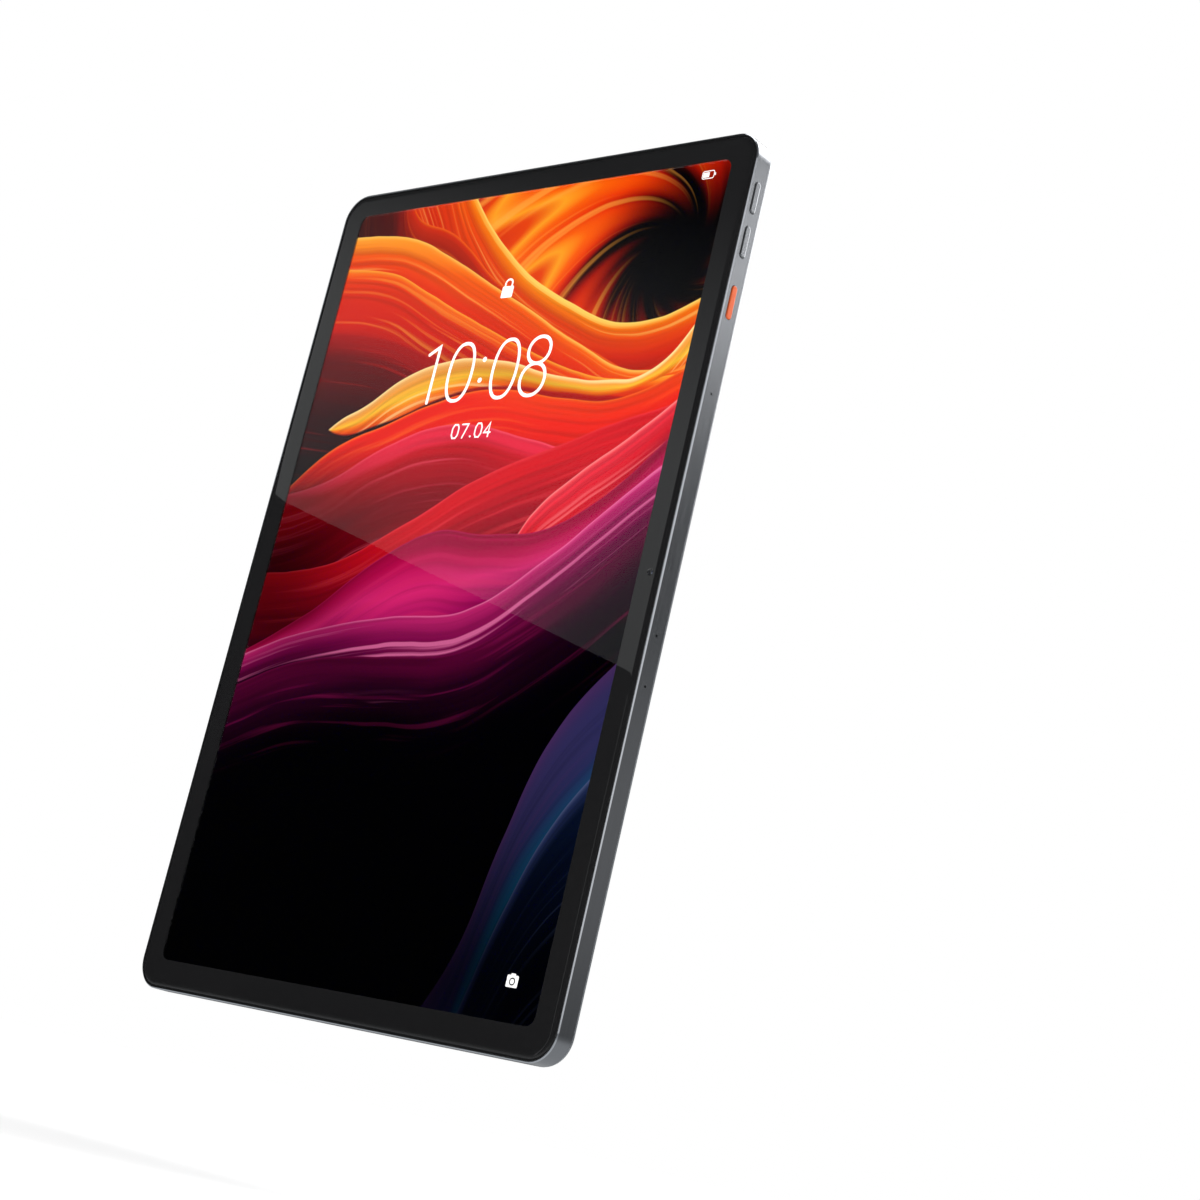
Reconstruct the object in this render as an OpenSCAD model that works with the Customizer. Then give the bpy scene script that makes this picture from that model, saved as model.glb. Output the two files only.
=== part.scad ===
// Tablet computer, portrait, built up from its separate pieces.
// Every module is drawn in plan: X right seen from the front, Y along the long side,
// Z the depth from the rear face towards the screen. place() stands the plan upright,
// so the finished part has +Z up, its screen on -Y and its rear face on the plane y = 0.

/* [Body] */
// width over the side walls
body_w = 166.4; // [140:0.1:200]
// height over the end walls
body_h = 255.4; // [210:0.1:307]
// thickness from the rear face to the glass, without the camera island
body_t = 7.3; // [6.9:0.05:9]
// outline corner radius
corner_r = 8.5; // [6:0.1:14]
// side wall thickness
wall_t = 2.0; // [1.6:0.1:3]
// chamfer on the front edge of the side wall
wall_chamfer = 0.3; // [0.1:0.05:0.6]
// how far the wall stops below the glass face
wall_drop = 0.15; // [0:0.05:0.4]
// width of the wall's lip round the glass
lip_w = 0.6; // [0.4:0.05:1.2]

/* [Rear cover] */
// rear cover sheet thickness
cover_t = 0.8; // [0.6:0.05:1.2]
// depth of the cover's rim, rear face to seam
cover_rim = 1.35; // [1:0.05:2]
// rounding of the cover's rear edge
cover_round = 1.25; // [0.6:0.05:1.3]
// how far the cover's rim is set in from the wall
cover_inset = 0.1; // [0:0.05:0.4]
// width of the rim lip inside
cover_lip = 2.1; // [1.6:0.1:3]
// height of the shadow groove between wall and cover
seam_h = 0.15; // [0.1:0.05:0.4]
// depth of the shadow groove
seam_d = 0.3; // [0.1:0.05:0.6]
// depth of the ribbed band's recess
band_d = 0.25; // [0.1:0.05:0.4]
// width of the ribbed band across the body
band_w = 45; // [30:0.5:60]
// margin between the ribbed band and the edges
band_margin = 4.6; // [3:0.1:10]
// corner radius of the ribbed band
band_r = 4; // [2:0.5:8]

/* [Glass and display] */
// cover glass thickness
glass_t = 0.6; // [0.5:0.05:0.8]
// rounding of the glass edge
glass_round = 0.28; // [0.1:0.02:0.4]
// width of the black seal between wall lip and glass
seal_w = 0.35; // [0.2:0.05:0.8]
// printed border thickness
print_t = 0.05; // [0.03:0.01:0.1]
// perimeter tape thickness
tape_t = 0.1; // [0.05:0.05:0.2]
// side border of the lit area
border_side = 8.5; // [6:0.1:12]
// end border of the lit area
border_end = 8.2; // [6:0.1:14]
// how far the lit area sits above the middle
lit_shift = 0.5; // [-2:0.1:2]
// corner radius of the lit area
lit_r = 3; // [0.5:0.1:5]
// clear bonding sheet thickness
bond_t = 0.15; // [0.1:0.05:0.3]
// display panel thickness
panel_t = 0.55; // [0.4:0.05:0.8]
// display panel edge beyond the lit area
panel_edge = 1.8; // [1:0.1:3]
// driver ledge beyond the lit area at the bottom
panel_ledge = 4; // [3:0.1:6]
// optical film stack thickness
film_t = 0.2; // [0.1:0.05:0.4]
// light guide thickness
guide_t = 0.4; // [0.3:0.05:0.6]
// backlight pan sheet thickness
pan_t = 0.15; // [0.1:0.05:0.3]
// middle plate thickness
plate_t = 0.4; // [0.3:0.05:0.8]

/* [Keys] */
// key height above the wall
key_proud = 0.35; // [0.2:0.05:0.8]
// key width across the wall
key_w = 2.1; // [1.8:0.1:3]
// rounding of a key's outer edge
key_round = 0.3; // [0.1:0.05:0.45]
// gap round a key
key_gap = 0.12; // [0.08:0.01:0.3]
// depth of the side features' axis below the wall's front edge
key_depth = 2.65; // [2:0.05:4]
// length of each volume key
vol_len = 9.2; // [6:0.1:14]
// upper volume key's centre below the top end
vol_up_at = 19.4; // [14:0.1:30]
// lower volume key's centre below the top end
vol_down_at = 32.5; // [26:0.1:50]
// length of the orange key
smart_len = 9.6; // [6:0.1:14]
// orange key's centre below the top end
smart_at = 50.2; // [42:0.1:70]
// length of the power key
power_len = 11.6; // [8:0.1:16]
// power key's centre from the right side
power_at = 19.3; // [14:0.1:30]
// key travel
key_travel = 0.3; // [0.2:0.05:0.5]

/* [Ports and holes] */
// speaker holes in each group
spk_count = 12; // [6:1:16]
// speaker hole pitch
spk_pitch = 2.26; // [1.8:0.02:3]
// speaker hole radius
spk_r = 0.58; // [0.3:0.02:0.8]
// speaker group centre from the middle
spk_x = 31.5; // [26:0.5:50]
// speaker hole axis from the rear face
spk_z = 4.0; // [3:0.1:5]
// microphone pinhole radius
mic_r = 0.35; // [0.2:0.05:0.6]
// microphone positions above the middle
mic_at = [51.3, -15.9, -29.5];
// port shell width
port_w = 8.84; // [8:0.02:10]
// port shell height
port_h = 3.06; // [2.8:0.02:3.4]
// port shell sheet thickness
port_t = 0.25; // [0.2:0.05:0.4]
// port shell length
port_len = 7.2; // [6:0.1:9]
// port axis from the rear face
port_z = 3.65; // [3.4:0.05:4.4]
// card tray centre below the top end
tray_at = 39.7; // [30:0.1:60]
// card tray cap length
tray_len = 15; // [13:0.1:20]
// card tray cap width
tray_w = 2.2; // [1.8:0.1:3]
// card tray axis from the rear face
tray_z = 3.25; // [3:0.05:4]
// card tray carrier length
carrier_len = 25; // [20:0.5:32]
// card tray carrier width
carrier_w = 12.2; // [11.8:0.1:14]
// eject hole radius
eject_r = 0.45; // [0.3:0.05:0.6]

/* [Camera island] */
// island size along the long side
island_h = 46.8; // [36:0.1:58]
// island size across
island_w = 34; // [26:0.1:42]
// island corner radius
island_r = 4.4; // [2:0.1:8]
// island height above the rear face
island_up = 0.85; // [0.5:0.05:1.5]
// island bevel
island_bevel = 0.55; // [0.2:0.05:0.8]
// island rim width round the panel
island_rim = 1.0; // [0.6:0.1:2]
// island centre from the right side
island_x = 27.2; // [22:0.1:40]
// island centre below the top end
island_y = 31.7; // [27:0.1:60]
// panel sheet thickness
island_panel_t = 0.6; // [0.4:0.05:0.8]
// lens and flash spacing from the island centre
eye_gap = 11; // [9:0.1:13]
// lens ring outer radius
lens_r = 8.2; // [6:0.1:9]
// lens ring width
lens_ring_w = 0.9; // [0.5:0.05:1.5]
// lens ring height above the island
lens_up = 0.4; // [0.2:0.05:0.8]
// lens window radius
window_r = 5.9; // [4:0.1:6.5]
// flash trim outer radius
flash_r = 7.2; // [5:0.1:8]
// flash trim width
flash_ring_w = 0.35; // [0.2:0.05:0.6]
// flash lens radius
flash_lens_r = 1.7; // [1.2:0.1:2.2]
// lens barrel radius
barrel_r = 3.3; // [2.6:0.1:3.8]
// camera housing side
camera_w = 10.5; // [9:0.1:12]

/* [Inner pieces] */
// gap between the two battery cells
cell_gap = 18; // [14:0.5:30]
// cell edge from the side
cell_side = 7.2; // [6:0.1:12]
// upper end of the cells below the top end
cell_top = 79.7; // [75:0.1:100]
// lower end of the cells above the bottom end
cell_bottom = 62; // [32:0.1:90]
// circuit board thickness
board_t = 0.7; // [0.5:0.05:1]
// upper edge of the main board below the top end
board_top = 17; // [16:0.1:24]
// lower edge of the main board below the top end
board_bottom = 71; // [66:0.1:74]
// right edge of the main board from the right side
board_right = 39.2; // [37:0.1:50]
// left edge of the main board from the left side
board_left = 4.2; // [3.5:0.1:10]
// shield can height
can_t = 1.6; // [1:0.1:2]
// speaker module length
spk_len = 34; // [28:0.5:40]
// speaker module depth
spk_depth = 13; // [10:0.5:14]
// screw shank radius
screw_r = 0.7; // [0.5:0.05:0.9]
// screw head radius
screw_head_r = 1.2; // [1:0.05:1.5]
// front camera side
front_cam_w = 4.2; // [3.6:0.1:4.6]
// front camera window radius
front_cam_r = 1.3; // [0.8:0.1:1.8]

/* [Hidden] */
$fn = 48;
fine = 96;
e = 0.02;
touch_gap = 0.05;

// levels from the rear face towards the glass
z_wall = body_t - wall_drop;
z_glass = body_t - glass_t;
z_print = z_glass - print_t;
z_seat = z_print - tape_t;
z_panel_top = z_print - bond_t;
z_panel = z_panel_top - panel_t;
z_film = z_panel - film_t;
z_guide = z_film - guide_t;
z_pan = z_guide - pan_t;
z_plate = z_pan - plate_t;
z_board = z_plate - board_t;
z_key = z_wall - key_depth;
z_mic = z_plate - 0.6;

glass_in = lip_w + seal_w + 0.05;
glass_r = corner_r - glass_in;
lit_w = body_w - 2 * border_side;
lit_h = body_h - 2 * border_end;
panel_w = lit_w + 2 * panel_edge;
panel_top = lit_shift + lit_h / 2 + panel_edge;
panel_low = lit_shift - lit_h / 2 - panel_ledge;
panel_h = panel_top - panel_low;
panel_mid = (panel_top + panel_low) / 2;

top = body_h / 2;
right = body_w / 2;
in_y = top - wall_t;
in_x = right - wall_t;

// key stack, measured inwards from the wall's outer face
flange_t = 0.5;
flange_in = wall_t + touch_gap;
post_in = flange_in + flange_t;
post_len = 0.65;
dome_t = 0.3;
dome_in = post_in + post_len + key_travel + 0.1;
strip_in = dome_in + dome_t;
strip_t = 0.2;
bracket_in = strip_in + strip_t;
bracket_t = 0.25;
key_r = key_w / 2 - touch_gap;
flange_w = key_w + 1.2;

// side numbers: 0 right, 1 top, 2 left, 3 bottom
keys = [
    [0, top - vol_up_at, vol_len],
    [0, top - vol_down_at, vol_len],
    [0, top - smart_at, smart_len],
    [1, right - power_at, power_len],
];

strip_w = 3.2;
side_y0 = keys[2][1] - smart_len / 2 - 0.5;
side_y1 = keys[0][1] + vol_len / 2 + 0.5;

isl = [right - island_x, top - island_y];
lens_c = [isl[0], isl[1] + eye_gap];
flash_c = [isl[0], isl[1] - eye_gap];
z_floor = island_panel_t - island_up + touch_gap;
flange_z = cover_t;
flange_h = 0.3;
bore_r = barrel_r + 0.9;
z_isl_in = flange_z + flange_h;
barrel_nose = z_isl_in - 0.75;

band_x = right - band_margin - band_w / 2;
band_h = body_h - 2 * band_margin;

cell_w = right - cell_side - cell_gap / 2;
cell_x = cell_gap / 2 + cell_w / 2;
cell_y1 = top - cell_top;
cell_y0 = cell_bottom - top;
cell_h = cell_y1 - cell_y0;
cell_mid = (cell_y1 + cell_y0) / 2;
pcm_h = 3.2;
cell_z0 = cover_t + 0.3;
cell_z1 = z_plate - tape_t;

brd_x0 = board_left - right;
brd_x1 = right - board_right;
brd_y0 = top - board_bottom;
brd_y1 = top - board_top;
brd_w = brd_x1 - brd_x0;
brd_mid = (brd_x0 + brd_x1) / 2;
z_can = z_board - can_t;

spk_z0 = cover_t + 0.5;
mesh_t = 0.2;
spk_y = in_y - mesh_t - spk_depth / 2;
spk_board_gap = 1.2;

sub_w = 2 * (spk_x - spk_len / 2 - 1.5);
sub_y0 = port_len + 0.1 - top;
sub_h = 22;
sub_y1 = sub_y0 + sub_h;
sub_mid = sub_y0 + sub_h / 2;
z_sub = port_z - 0.35;

tray_y = top - tray_at;
carrier_t = 0.7;
cap_t = 1.6;
cap_set = 0.03;
carrier_shift = 0.8;
eject_at = tray_len / 2 - 1.05;
socket_t = 0.2;
socket_gap = 0.1;
card_w = 11;
card_h = 15;

front_cam_x = right - 4.3;
front_cam_y = lit_shift;

flex_t = 0.15;
flex_w = 4;
flex_x = 6.9;

// screw positions on plan: [x, y, seat level]
spk_ends = [for (sx = [-1, 1], sy = [-1, 1], s = [-1, 1])
    [sx * spk_x + s * (spk_len / 2 - 2), sy * (spk_y - spk_depth / 2 + 2), z_plate - 1]];
board_ends = concat(
    [for (x = [brd_x0 + 3, brd_mid], y = [brd_y0 + 3, brd_y1 - 3]) [x, y, z_board]],
    [for (y = [brd_y0 + 3, lens_c[1] - 6]) [brd_x1 - 3, y, z_board]]);
sub_ends = [for (s = [-1, 1]) [s * (sub_w / 2 - 2.2), sub_y1 - 3, z_sub]];
screw_at = concat(spk_ends, board_ends, sub_ends);

// ---------- shared shapes ----------

// stands the plan upright: plan Z, the depth, becomes -Y
module place() { rotate([90, 0, 0]) children(); }

// rounded rectangle with true arcs
module rr(w, h, r) {
    square([w - 2 * r, h], center = true);
    square([w, h - 2 * r], center = true);
    for (x = [-1, 1], y = [-1, 1])
        translate([x * (w / 2 - r), y * (h / 2 - r)]) circle(r, $fn = fine);
}

// rounded rectangle between two levels
module slab(w, h, r, z0, z1) {
    translate([0, 0, z0]) linear_extrude(z1 - z0) rr(w, h, r);
}

// plain block between two levels, centred on plan
module block(w, h, z0, z1) {
    translate([-w / 2, -h / 2, z0]) cube([w, h, z1 - z0]);
}

// upright cylinder between two levels
module disc(r, z0, z1) {
    translate([0, 0, z0]) cylinder(r = r, h = z1 - z0, $fn = fine);
}

// rounded rectangle whose edge follows prof, a list of [set-in, level] going up
module moulded(w, h, r, prof) {
    z0 = prof[0][1];
    z1 = prof[len(prof) - 1][1];
    shape = concat([[0, z0]], [for (p = prof) [r - p[0], p[1]]], [[0, z1]]);
    a = w - 2 * r;
    b = h - 2 * r;
    translate([0, 0, z0]) linear_extrude(z1 - z0) square([a, b], center = true);
    for (q = [0:3]) {
        dx = q % 2 == 0 ? a : b;
        dy = q % 2 == 0 ? b : a;
        rotate([0, 0, 90 * q]) {
            translate([dx / 2, dy / 2, 0])
                rotate([90, 0, 0]) linear_extrude(dy) polygon(shape);
            translate([dx / 2, dy / 2, 0])
                rotate_extrude(angle = 90, $fn = fine) polygon(shape);
        }
    }
}

// quarter round of radius r from level z, set in as it rises
function quarter(r, z, n = 5) = [for (i = [0:n]) [r * (1 - cos(90 * i / n)), z + r * sin(90 * i / n)]];
// quarter round of radius r that starts set in at level z and ends flush
function quarter_up(r, z, n = 5) = [for (i = [0:n]) [r * (1 - sin(90 * i / n)), z + r * (1 - cos(90 * i / n))]];

// puts children on a wall: local Z points outwards from the wall's face, X runs along it
module on_wall(side, along, z) {
    p = side == 0 ? [right, along] : side == 1 ? [along, top]
        : side == 2 ? [-right, along] : [along, -top];
    translate([p[0], p[1], z]) rotate([90, 0, [90, 180, 270, 0][side]]) children();
}

// ---------- glass and display ----------

module cover_glass() {
    color([0.03, 0.03, 0.035, 0.5]) place()
        moulded(body_w - 2 * glass_in, body_h - 2 * glass_in, glass_r,
            concat([[0, z_glass]], quarter(glass_round, body_t - glass_round)));
}

module glass_seal() {
    color([0.02, 0.02, 0.02]) place() difference() {
        slab(body_w - 2 * lip_w - e, body_h - 2 * lip_w - e, corner_r - lip_w, z_seat, z_wall - 0.05);
        slab(body_w - 2 * (glass_in - e), body_h - 2 * (glass_in - e), glass_r + e, z_seat - 1, body_t);
    }
}

module border_print() {
    color([0.02, 0.02, 0.02]) place() difference() {
        slab(body_w - 2 * glass_in, body_h - 2 * glass_in, glass_r, z_print, z_glass);
        translate([0, lit_shift, 0]) slab(lit_w, lit_h, lit_r, z_print - 1, z_glass + 1);
        translate([front_cam_x, front_cam_y, 0]) disc(front_cam_r, z_print - 1, z_glass + 1);
    }
}

module perimeter_tape() {
    color([0.1, 0.1, 0.1]) place() difference() {
        slab(body_w - 2 * glass_in, body_h - 2 * glass_in, glass_r, z_seat, z_print);
        slab(body_w - 2 * (wall_t - 0.1), body_h - 2 * (wall_t - 0.1), corner_r - wall_t + 0.1,
            z_seat - 1, z_print + 1);
    }
}

module bonding_sheet() {
    color([0.9, 0.9, 0.92, 0.4]) place()
        translate([0, lit_shift, 0]) block(lit_w + 2, lit_h + 2, z_panel_top, z_print);
}

module display_panel() {
    color([0.16, 0.06, 0.14]) place()
        translate([0, panel_mid, 0]) block(panel_w, panel_h, z_panel, z_panel_top);
}

module film_stack() {
    color([0.92, 0.92, 0.9]) place()
        translate([0, lit_shift, 0]) block(panel_w - 0.6, lit_h + 2, z_film, z_panel);
}

module light_guide() {
    color([0.85, 0.9, 0.92, 0.6]) place()
        translate([0, lit_shift, 0]) block(panel_w - 0.6, lit_h + 2, z_guide, z_film);
}

module led_bar() {
    color([0.95, 0.9, 0.6]) place()
        translate([0, lit_shift - lit_h / 2 - 1.9, 0]) block(panel_w - 8, 1.6, z_guide, z_film);
}

module backlight_pan() {
    color([0.6, 0.6, 0.62]) place() translate([0, panel_mid, 0]) difference() {
        block(panel_w, panel_h, z_pan, z_panel);
        block(panel_w - 2 * pan_t, panel_h - 2 * pan_t, z_guide, z_panel + 1);
    }
}

// ---------- frame and cover ----------

module side_frame() {
    color([0.42, 0.43, 0.45]) place() difference() {
        moulded(body_w, body_h, corner_r,
            [[seam_d, cover_rim], [seam_d, cover_rim + seam_h], [0, cover_rim + seam_h],
             [0, z_wall - wall_chamfer], [wall_chamfer, z_wall]]);
        slab(2 * in_x, 2 * in_y, corner_r - wall_t, 0, body_t);
        slab(body_w - 2 * lip_w, body_h - 2 * lip_w, corner_r - lip_w, z_seat, body_t);
        for (k = keys)
            on_wall(k[0], k[1], z_key)
                slab(k[2] + 2 * key_gap, key_w + 2 * key_gap, key_r + key_gap, -wall_t - 1, 1);
        for (side = [1, 3], sx = [-1, 1], i = [0:spk_count - 1])
            on_wall(side, sx * spk_x + (i - (spk_count - 1) / 2) * spk_pitch, spk_z)
                disc(spk_r, -wall_t - 1, 1);
        for (m = mic_at) on_wall(0, m, z_mic) disc(mic_r, -wall_t - 1, 1);
        on_wall(3, 0, port_z)
            slab(port_w, port_h, port_h / 2 - touch_gap, -wall_t - 1, 1);
        on_wall(2, tray_y, tray_z)
            slab(tray_len + 2 * key_gap, tray_w + 2 * key_gap, tray_w / 2 - touch_gap + key_gap, -wall_t - 1, 1);
    }
}

module mid_plate() {
    color([0.55, 0.56, 0.58]) place() difference() {
        union() {
            slab(2 * in_x, 2 * in_y, corner_r - wall_t, z_plate, z_pan);
            for (s = sub_ends) translate([s[0], s[1], 0]) disc(screw_r + 0.9, z_sub + board_t, z_plate);
        }
        on_wall(0, (side_y0 + side_y1) / 2, z_key)
            block(side_y1 - side_y0 + 2.6, 2 * flange_w, -bracket_in - bracket_t, 0);
        on_wall(1, keys[3][1], z_key)
            block(power_len + 2.6, 2 * flange_w, -bracket_in - bracket_t, 0);
        translate([front_cam_x, front_cam_y, 0])
            block(front_cam_w, front_cam_w, z_plate - 1, z_pan + 1);
        translate([0, port_len / 2 - top, 0])
            block(port_w + 0.4, port_len + 0.3, z_plate - 1, z_pan + 1);
        translate([-flex_x, panel_low - 0.2, 0]) block(flex_w + 1, 0.8, z_plate - 1, z_pan + 1);
        for (s = screw_at) translate([s[0], s[1], 0]) disc(screw_r, z_sub, z_pan + 1);
    }
}

module rear_cover() {
    color([0.45, 0.46, 0.48]) place() difference() {
        moulded(body_w - 2 * cover_inset, body_h - 2 * cover_inset, corner_r - cover_inset,
            concat(quarter_up(cover_round, 0), [[0, cover_rim]]));
        slab(body_w - 2 * cover_lip, body_h - 2 * cover_lip, corner_r - cover_lip, cover_t, body_t);
        translate([band_x, 0, 0]) slab(band_w, band_h, band_r, -1, band_d);
        translate([isl[0], isl[1], 0])
            slab(island_w + 2 * e, island_h + 2 * e, island_r + e, -1, cover_t + 1);
    }
}

// ---------- keys ----------

// one key: cap, retaining flange and actuator post
module key_shape(l) {
    moulded(l, key_w, key_r,
        concat([[0, -flange_in]], quarter(key_round, key_proud - key_round, 4)));
    block(l + 1.6, flange_w, -post_in, -flange_in);
    disc(0.6, -post_in - post_len, -post_in);
}

module key_on_wall(i) { place() on_wall(keys[i][0], keys[i][1], z_key) key_shape(keys[i][2]); }

module volume_up_key() { color([0.42, 0.43, 0.45]) key_on_wall(0); }
module volume_down_key() { color([0.42, 0.43, 0.45]) key_on_wall(1); }
module smart_key() { color([0.86, 0.36, 0.16]) key_on_wall(2); }
module power_key() { color([0.42, 0.43, 0.45]) key_on_wall(3); }

module key_domes() {
    color([0.8, 0.8, 0.82]) place() for (k = keys)
        on_wall(k[0], k[1], z_key) disc(1.3, -dome_in - dome_t, -dome_in);
}

module key_strips() {
    color([0.75, 0.5, 0.15]) place() {
        on_wall(0, (side_y0 + side_y1) / 2, z_key)
            block(side_y1 - side_y0, strip_w, -strip_in - strip_t, -strip_in);
        on_wall(1, keys[3][1], z_key)
            block(power_len, strip_w, -strip_in - strip_t, -strip_in);
    }
}

module key_brackets() {
    color([0.6, 0.6, 0.62]) place() for (k = keys)
        on_wall(k[0], k[1], z_key)
            block(k[2] + 2, strip_w, -bracket_in - bracket_t, -bracket_in);
}

// ---------- camera island ----------

module island_bezel() {
    color([0.5, 0.51, 0.53]) place() difference() {
        translate([isl[0], isl[1], 0]) union() {
            moulded(island_w, island_h, island_r,
                [[island_bevel, -island_up], [0, island_bevel - island_up], [0, flange_z]]);
            slab(island_w + 2, island_h + 2, island_r + 1, flange_z, z_isl_in);
        }
        translate([isl[0], isl[1], 0])
            slab(island_w - 2 * island_rim, island_h - 2 * island_rim, island_r - island_rim,
                -island_up - 1, z_floor);
        translate([lens_c[0], lens_c[1], 0]) disc(bore_r, -2, z_isl_in + 1);
        translate([flash_c[0], flash_c[1], 0]) disc(flash_lens_r, -2, z_isl_in + 1);
    }
}

module island_panel() {
    color([0.3, 0.31, 0.33]) place() difference() {
        translate([isl[0], isl[1], 0])
            slab(island_w - 2 * island_rim - e, island_h - 2 * island_rim - e, island_r - island_rim,
                z_floor - island_panel_t, z_floor);
        translate([lens_c[0], lens_c[1], 0]) disc(lens_r + e, -2, 1);
        translate([flash_c[0], flash_c[1], 0]) disc(flash_r + e, -2, 1);
    }
}

// ring about an eye's axis: prof is a closed list of [radius, level]
module eye_ring(c, prof) {
    translate([c[0], c[1], 0]) rotate_extrude($fn = fine) polygon(prof);
}

lens_z = -island_up - lens_up;
ring_in = lens_r - lens_ring_w;

module lens_ring() {
    color([0.4, 0.41, 0.43]) place() eye_ring(lens_c,
        [[ring_in, z_floor], [ring_in, lens_z + 0.12], [ring_in + 0.12, lens_z],
         [lens_r - 0.2, lens_z], [lens_r, lens_z + 0.2], [lens_r, z_floor]]);
}

module lens_bevel() {
    color([0.03, 0.03, 0.03]) place() eye_ring(lens_c,
        [[window_r, z_floor], [window_r, lens_z + 0.55], [window_r + 0.2, lens_z + 0.5],
         [ring_in - 0.15, lens_z + 0.15], [ring_in, lens_z + 0.2], [ring_in, z_floor]]);
}

module lens_window() {
    color([0.05, 0.05, 0.06, 0.5]) place() translate([lens_c[0], lens_c[1], 0])
        disc(window_r, lens_z + 0.62, z_floor - 0.15);
}

module lens_mask() {
    color([0.02, 0.02, 0.02]) place() eye_ring(lens_c,
        [[2.1, z_floor - 0.15], [window_r, z_floor - 0.15], [window_r, z_floor], [2.3, z_floor]]);
}

module lens_barrel() {
    color([0.05, 0.05, 0.05]) place() eye_ring(lens_c,
        [[1.4, barrel_nose + 0.6], [1.7, barrel_nose + 0.6], [1.7, barrel_nose], [barrel_r, barrel_nose],
         [barrel_r, z_board - 0.5], [1.4, z_board - 0.5]]);
}

module barrel_lens() {
    color([0.1, 0.12, 0.2, 0.6]) place() translate([lens_c[0], lens_c[1], 0])
        disc(1.7, barrel_nose + 0.15, barrel_nose + 0.6);
}

module rear_camera_housing() {
    color([0.2, 0.2, 0.21]) place() translate([lens_c[0], lens_c[1], 0]) difference() {
        block(camera_w, camera_w, z_isl_in, z_board);
        disc(barrel_r + 0.1, z_isl_in - 1, z_board - 0.1);
    }
}

module rear_camera_board() {
    color([0.05, 0.25, 0.1]) place() translate([lens_c[0], lens_c[1], 0])
        block(camera_w + 0.6, camera_w + 0.6, z_board, z_plate);
}

module rear_camera_flex() {
    color([0.75, 0.5, 0.15]) place() translate([0, lens_c[1], 0])
        translate([brd_x1 - 4, -3, z_board - flex_t])
            cube([lens_c[0] - camera_w / 2 - brd_x1 + 4, 6, flex_t]);
}

module flash_trim() {
    color([0.85, 0.85, 0.87]) place() eye_ring(flash_c,
        [[flash_r - flash_ring_w, z_floor], [flash_r - flash_ring_w, -island_up + 0.02],
         [flash_r, -island_up + 0.02], [flash_r, z_floor]]);
}

module flash_disc() {
    color([0.36, 0.37, 0.39]) place() translate([flash_c[0], flash_c[1], 0]) difference() {
        disc(flash_r - flash_ring_w, z_floor - island_panel_t, z_floor);
        disc(flash_lens_r, -2, 2);
    }
}

module flash_lens() {
    color([0.95, 0.93, 0.8, 0.6]) place() translate([flash_c[0], flash_c[1], 0])
        disc(flash_lens_r, z_floor - island_panel_t, 0.2);
}

module flash_led() {
    color([0.95, 0.85, 0.3]) place() translate([flash_c[0], flash_c[1], 0])
        block(2, 2, 0.2, z_isl_in);
}

module flash_board() {
    color([0.05, 0.25, 0.1]) place() translate([flash_c[0], flash_c[1], 0])
        block(7, 6, z_isl_in, z_isl_in + 0.4);
}

// ---------- front camera ----------

module front_camera() {
    color([0.08, 0.08, 0.09]) place() translate([front_cam_x, front_cam_y, 0]) difference() {
        block(front_cam_w, front_cam_w, z_plate - 0.8, z_print - 0.1);
        disc(front_cam_r, z_print - 0.6, z_print);
    }
}

module front_camera_lens() {
    color([0.1, 0.12, 0.2, 0.6]) place() translate([front_cam_x, front_cam_y, 0])
        disc(front_cam_r, z_print - 0.6, z_print - 0.15);
}

// ---------- battery ----------

module battery_cell(s) {
    place() translate([s * cell_x, cell_mid, 0]) slab(cell_w, cell_h, 1, cell_z0, cell_z1);
}

module battery_cell_left() { color([0.7, 0.7, 0.72]) battery_cell(-1); }
module battery_cell_right() { color([0.7, 0.7, 0.72]) battery_cell(1); }

module battery_board() {
    color([0.05, 0.25, 0.1]) place() translate([0, cell_y1 + pcm_h / 2, 0])
        block(2 * (cell_x + cell_w / 2) - 20, pcm_h, z_plate - 1.4, z_plate - 0.6);
}

module battery_tape() {
    color([0.15, 0.15, 0.16]) place() for (s = [-1, 1], f = [-0.32, 0, 0.32])
        translate([s * cell_x, cell_mid + f * cell_h, 0]) block(cell_w - 8, 14, cell_z1, z_plate);
}

module battery_flex() {
    color([0.75, 0.5, 0.15]) place() translate([brd_mid - 10, 0, 0])
        translate([-4, cell_y1 + pcm_h, z_board - flex_t])
            cube([8, brd_y0 + 5 - cell_y1 - pcm_h, flex_t]);
}

// ---------- boards ----------

module screw_holes(list, z0, z1) {
    for (s = list) translate([s[0], s[1], 0]) disc(screw_r, z0, z1);
}

module main_board() {
    color([0.04, 0.22, 0.1]) place() difference() {
        translate([brd_x0, brd_y0, z_board]) cube([brd_w, brd_y1 - brd_y0, board_t]);
        screw_holes(board_ends, z_board - 1, z_plate);
    }
}

module can(x, y, w, h) {
    translate([x, y, 0]) difference() {
        block(w, h, z_can, z_board);
        block(w - 0.4, h - 0.4, z_can + 0.2, z_board + 1);
    }
}

module shield_cans() {
    color([0.7, 0.71, 0.73]) place() {
        can(brd_mid + 6, brd_y0 + 30, 34, 26);
        can(brd_mid + 42, brd_y0 + 26, 24, 32);
        can(brd_mid - 22, brd_y0 + 12, 18, 14);
    }
}

plug_x = [flex_x, -flex_x, brd_mid - 10];

module board_plugs() {
    color([0.1, 0.1, 0.1]) place() {
        for (x = plug_x) translate([x, brd_y0 + 3.2, 0])
            block(flex_w, 2.4, z_board - flex_t - 0.6, z_board - flex_t);
        translate([brd_x1 - 2.4, lens_c[1], 0]) block(2.4, 5, z_board - flex_t - 0.6, z_board - flex_t);
    }
}

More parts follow.
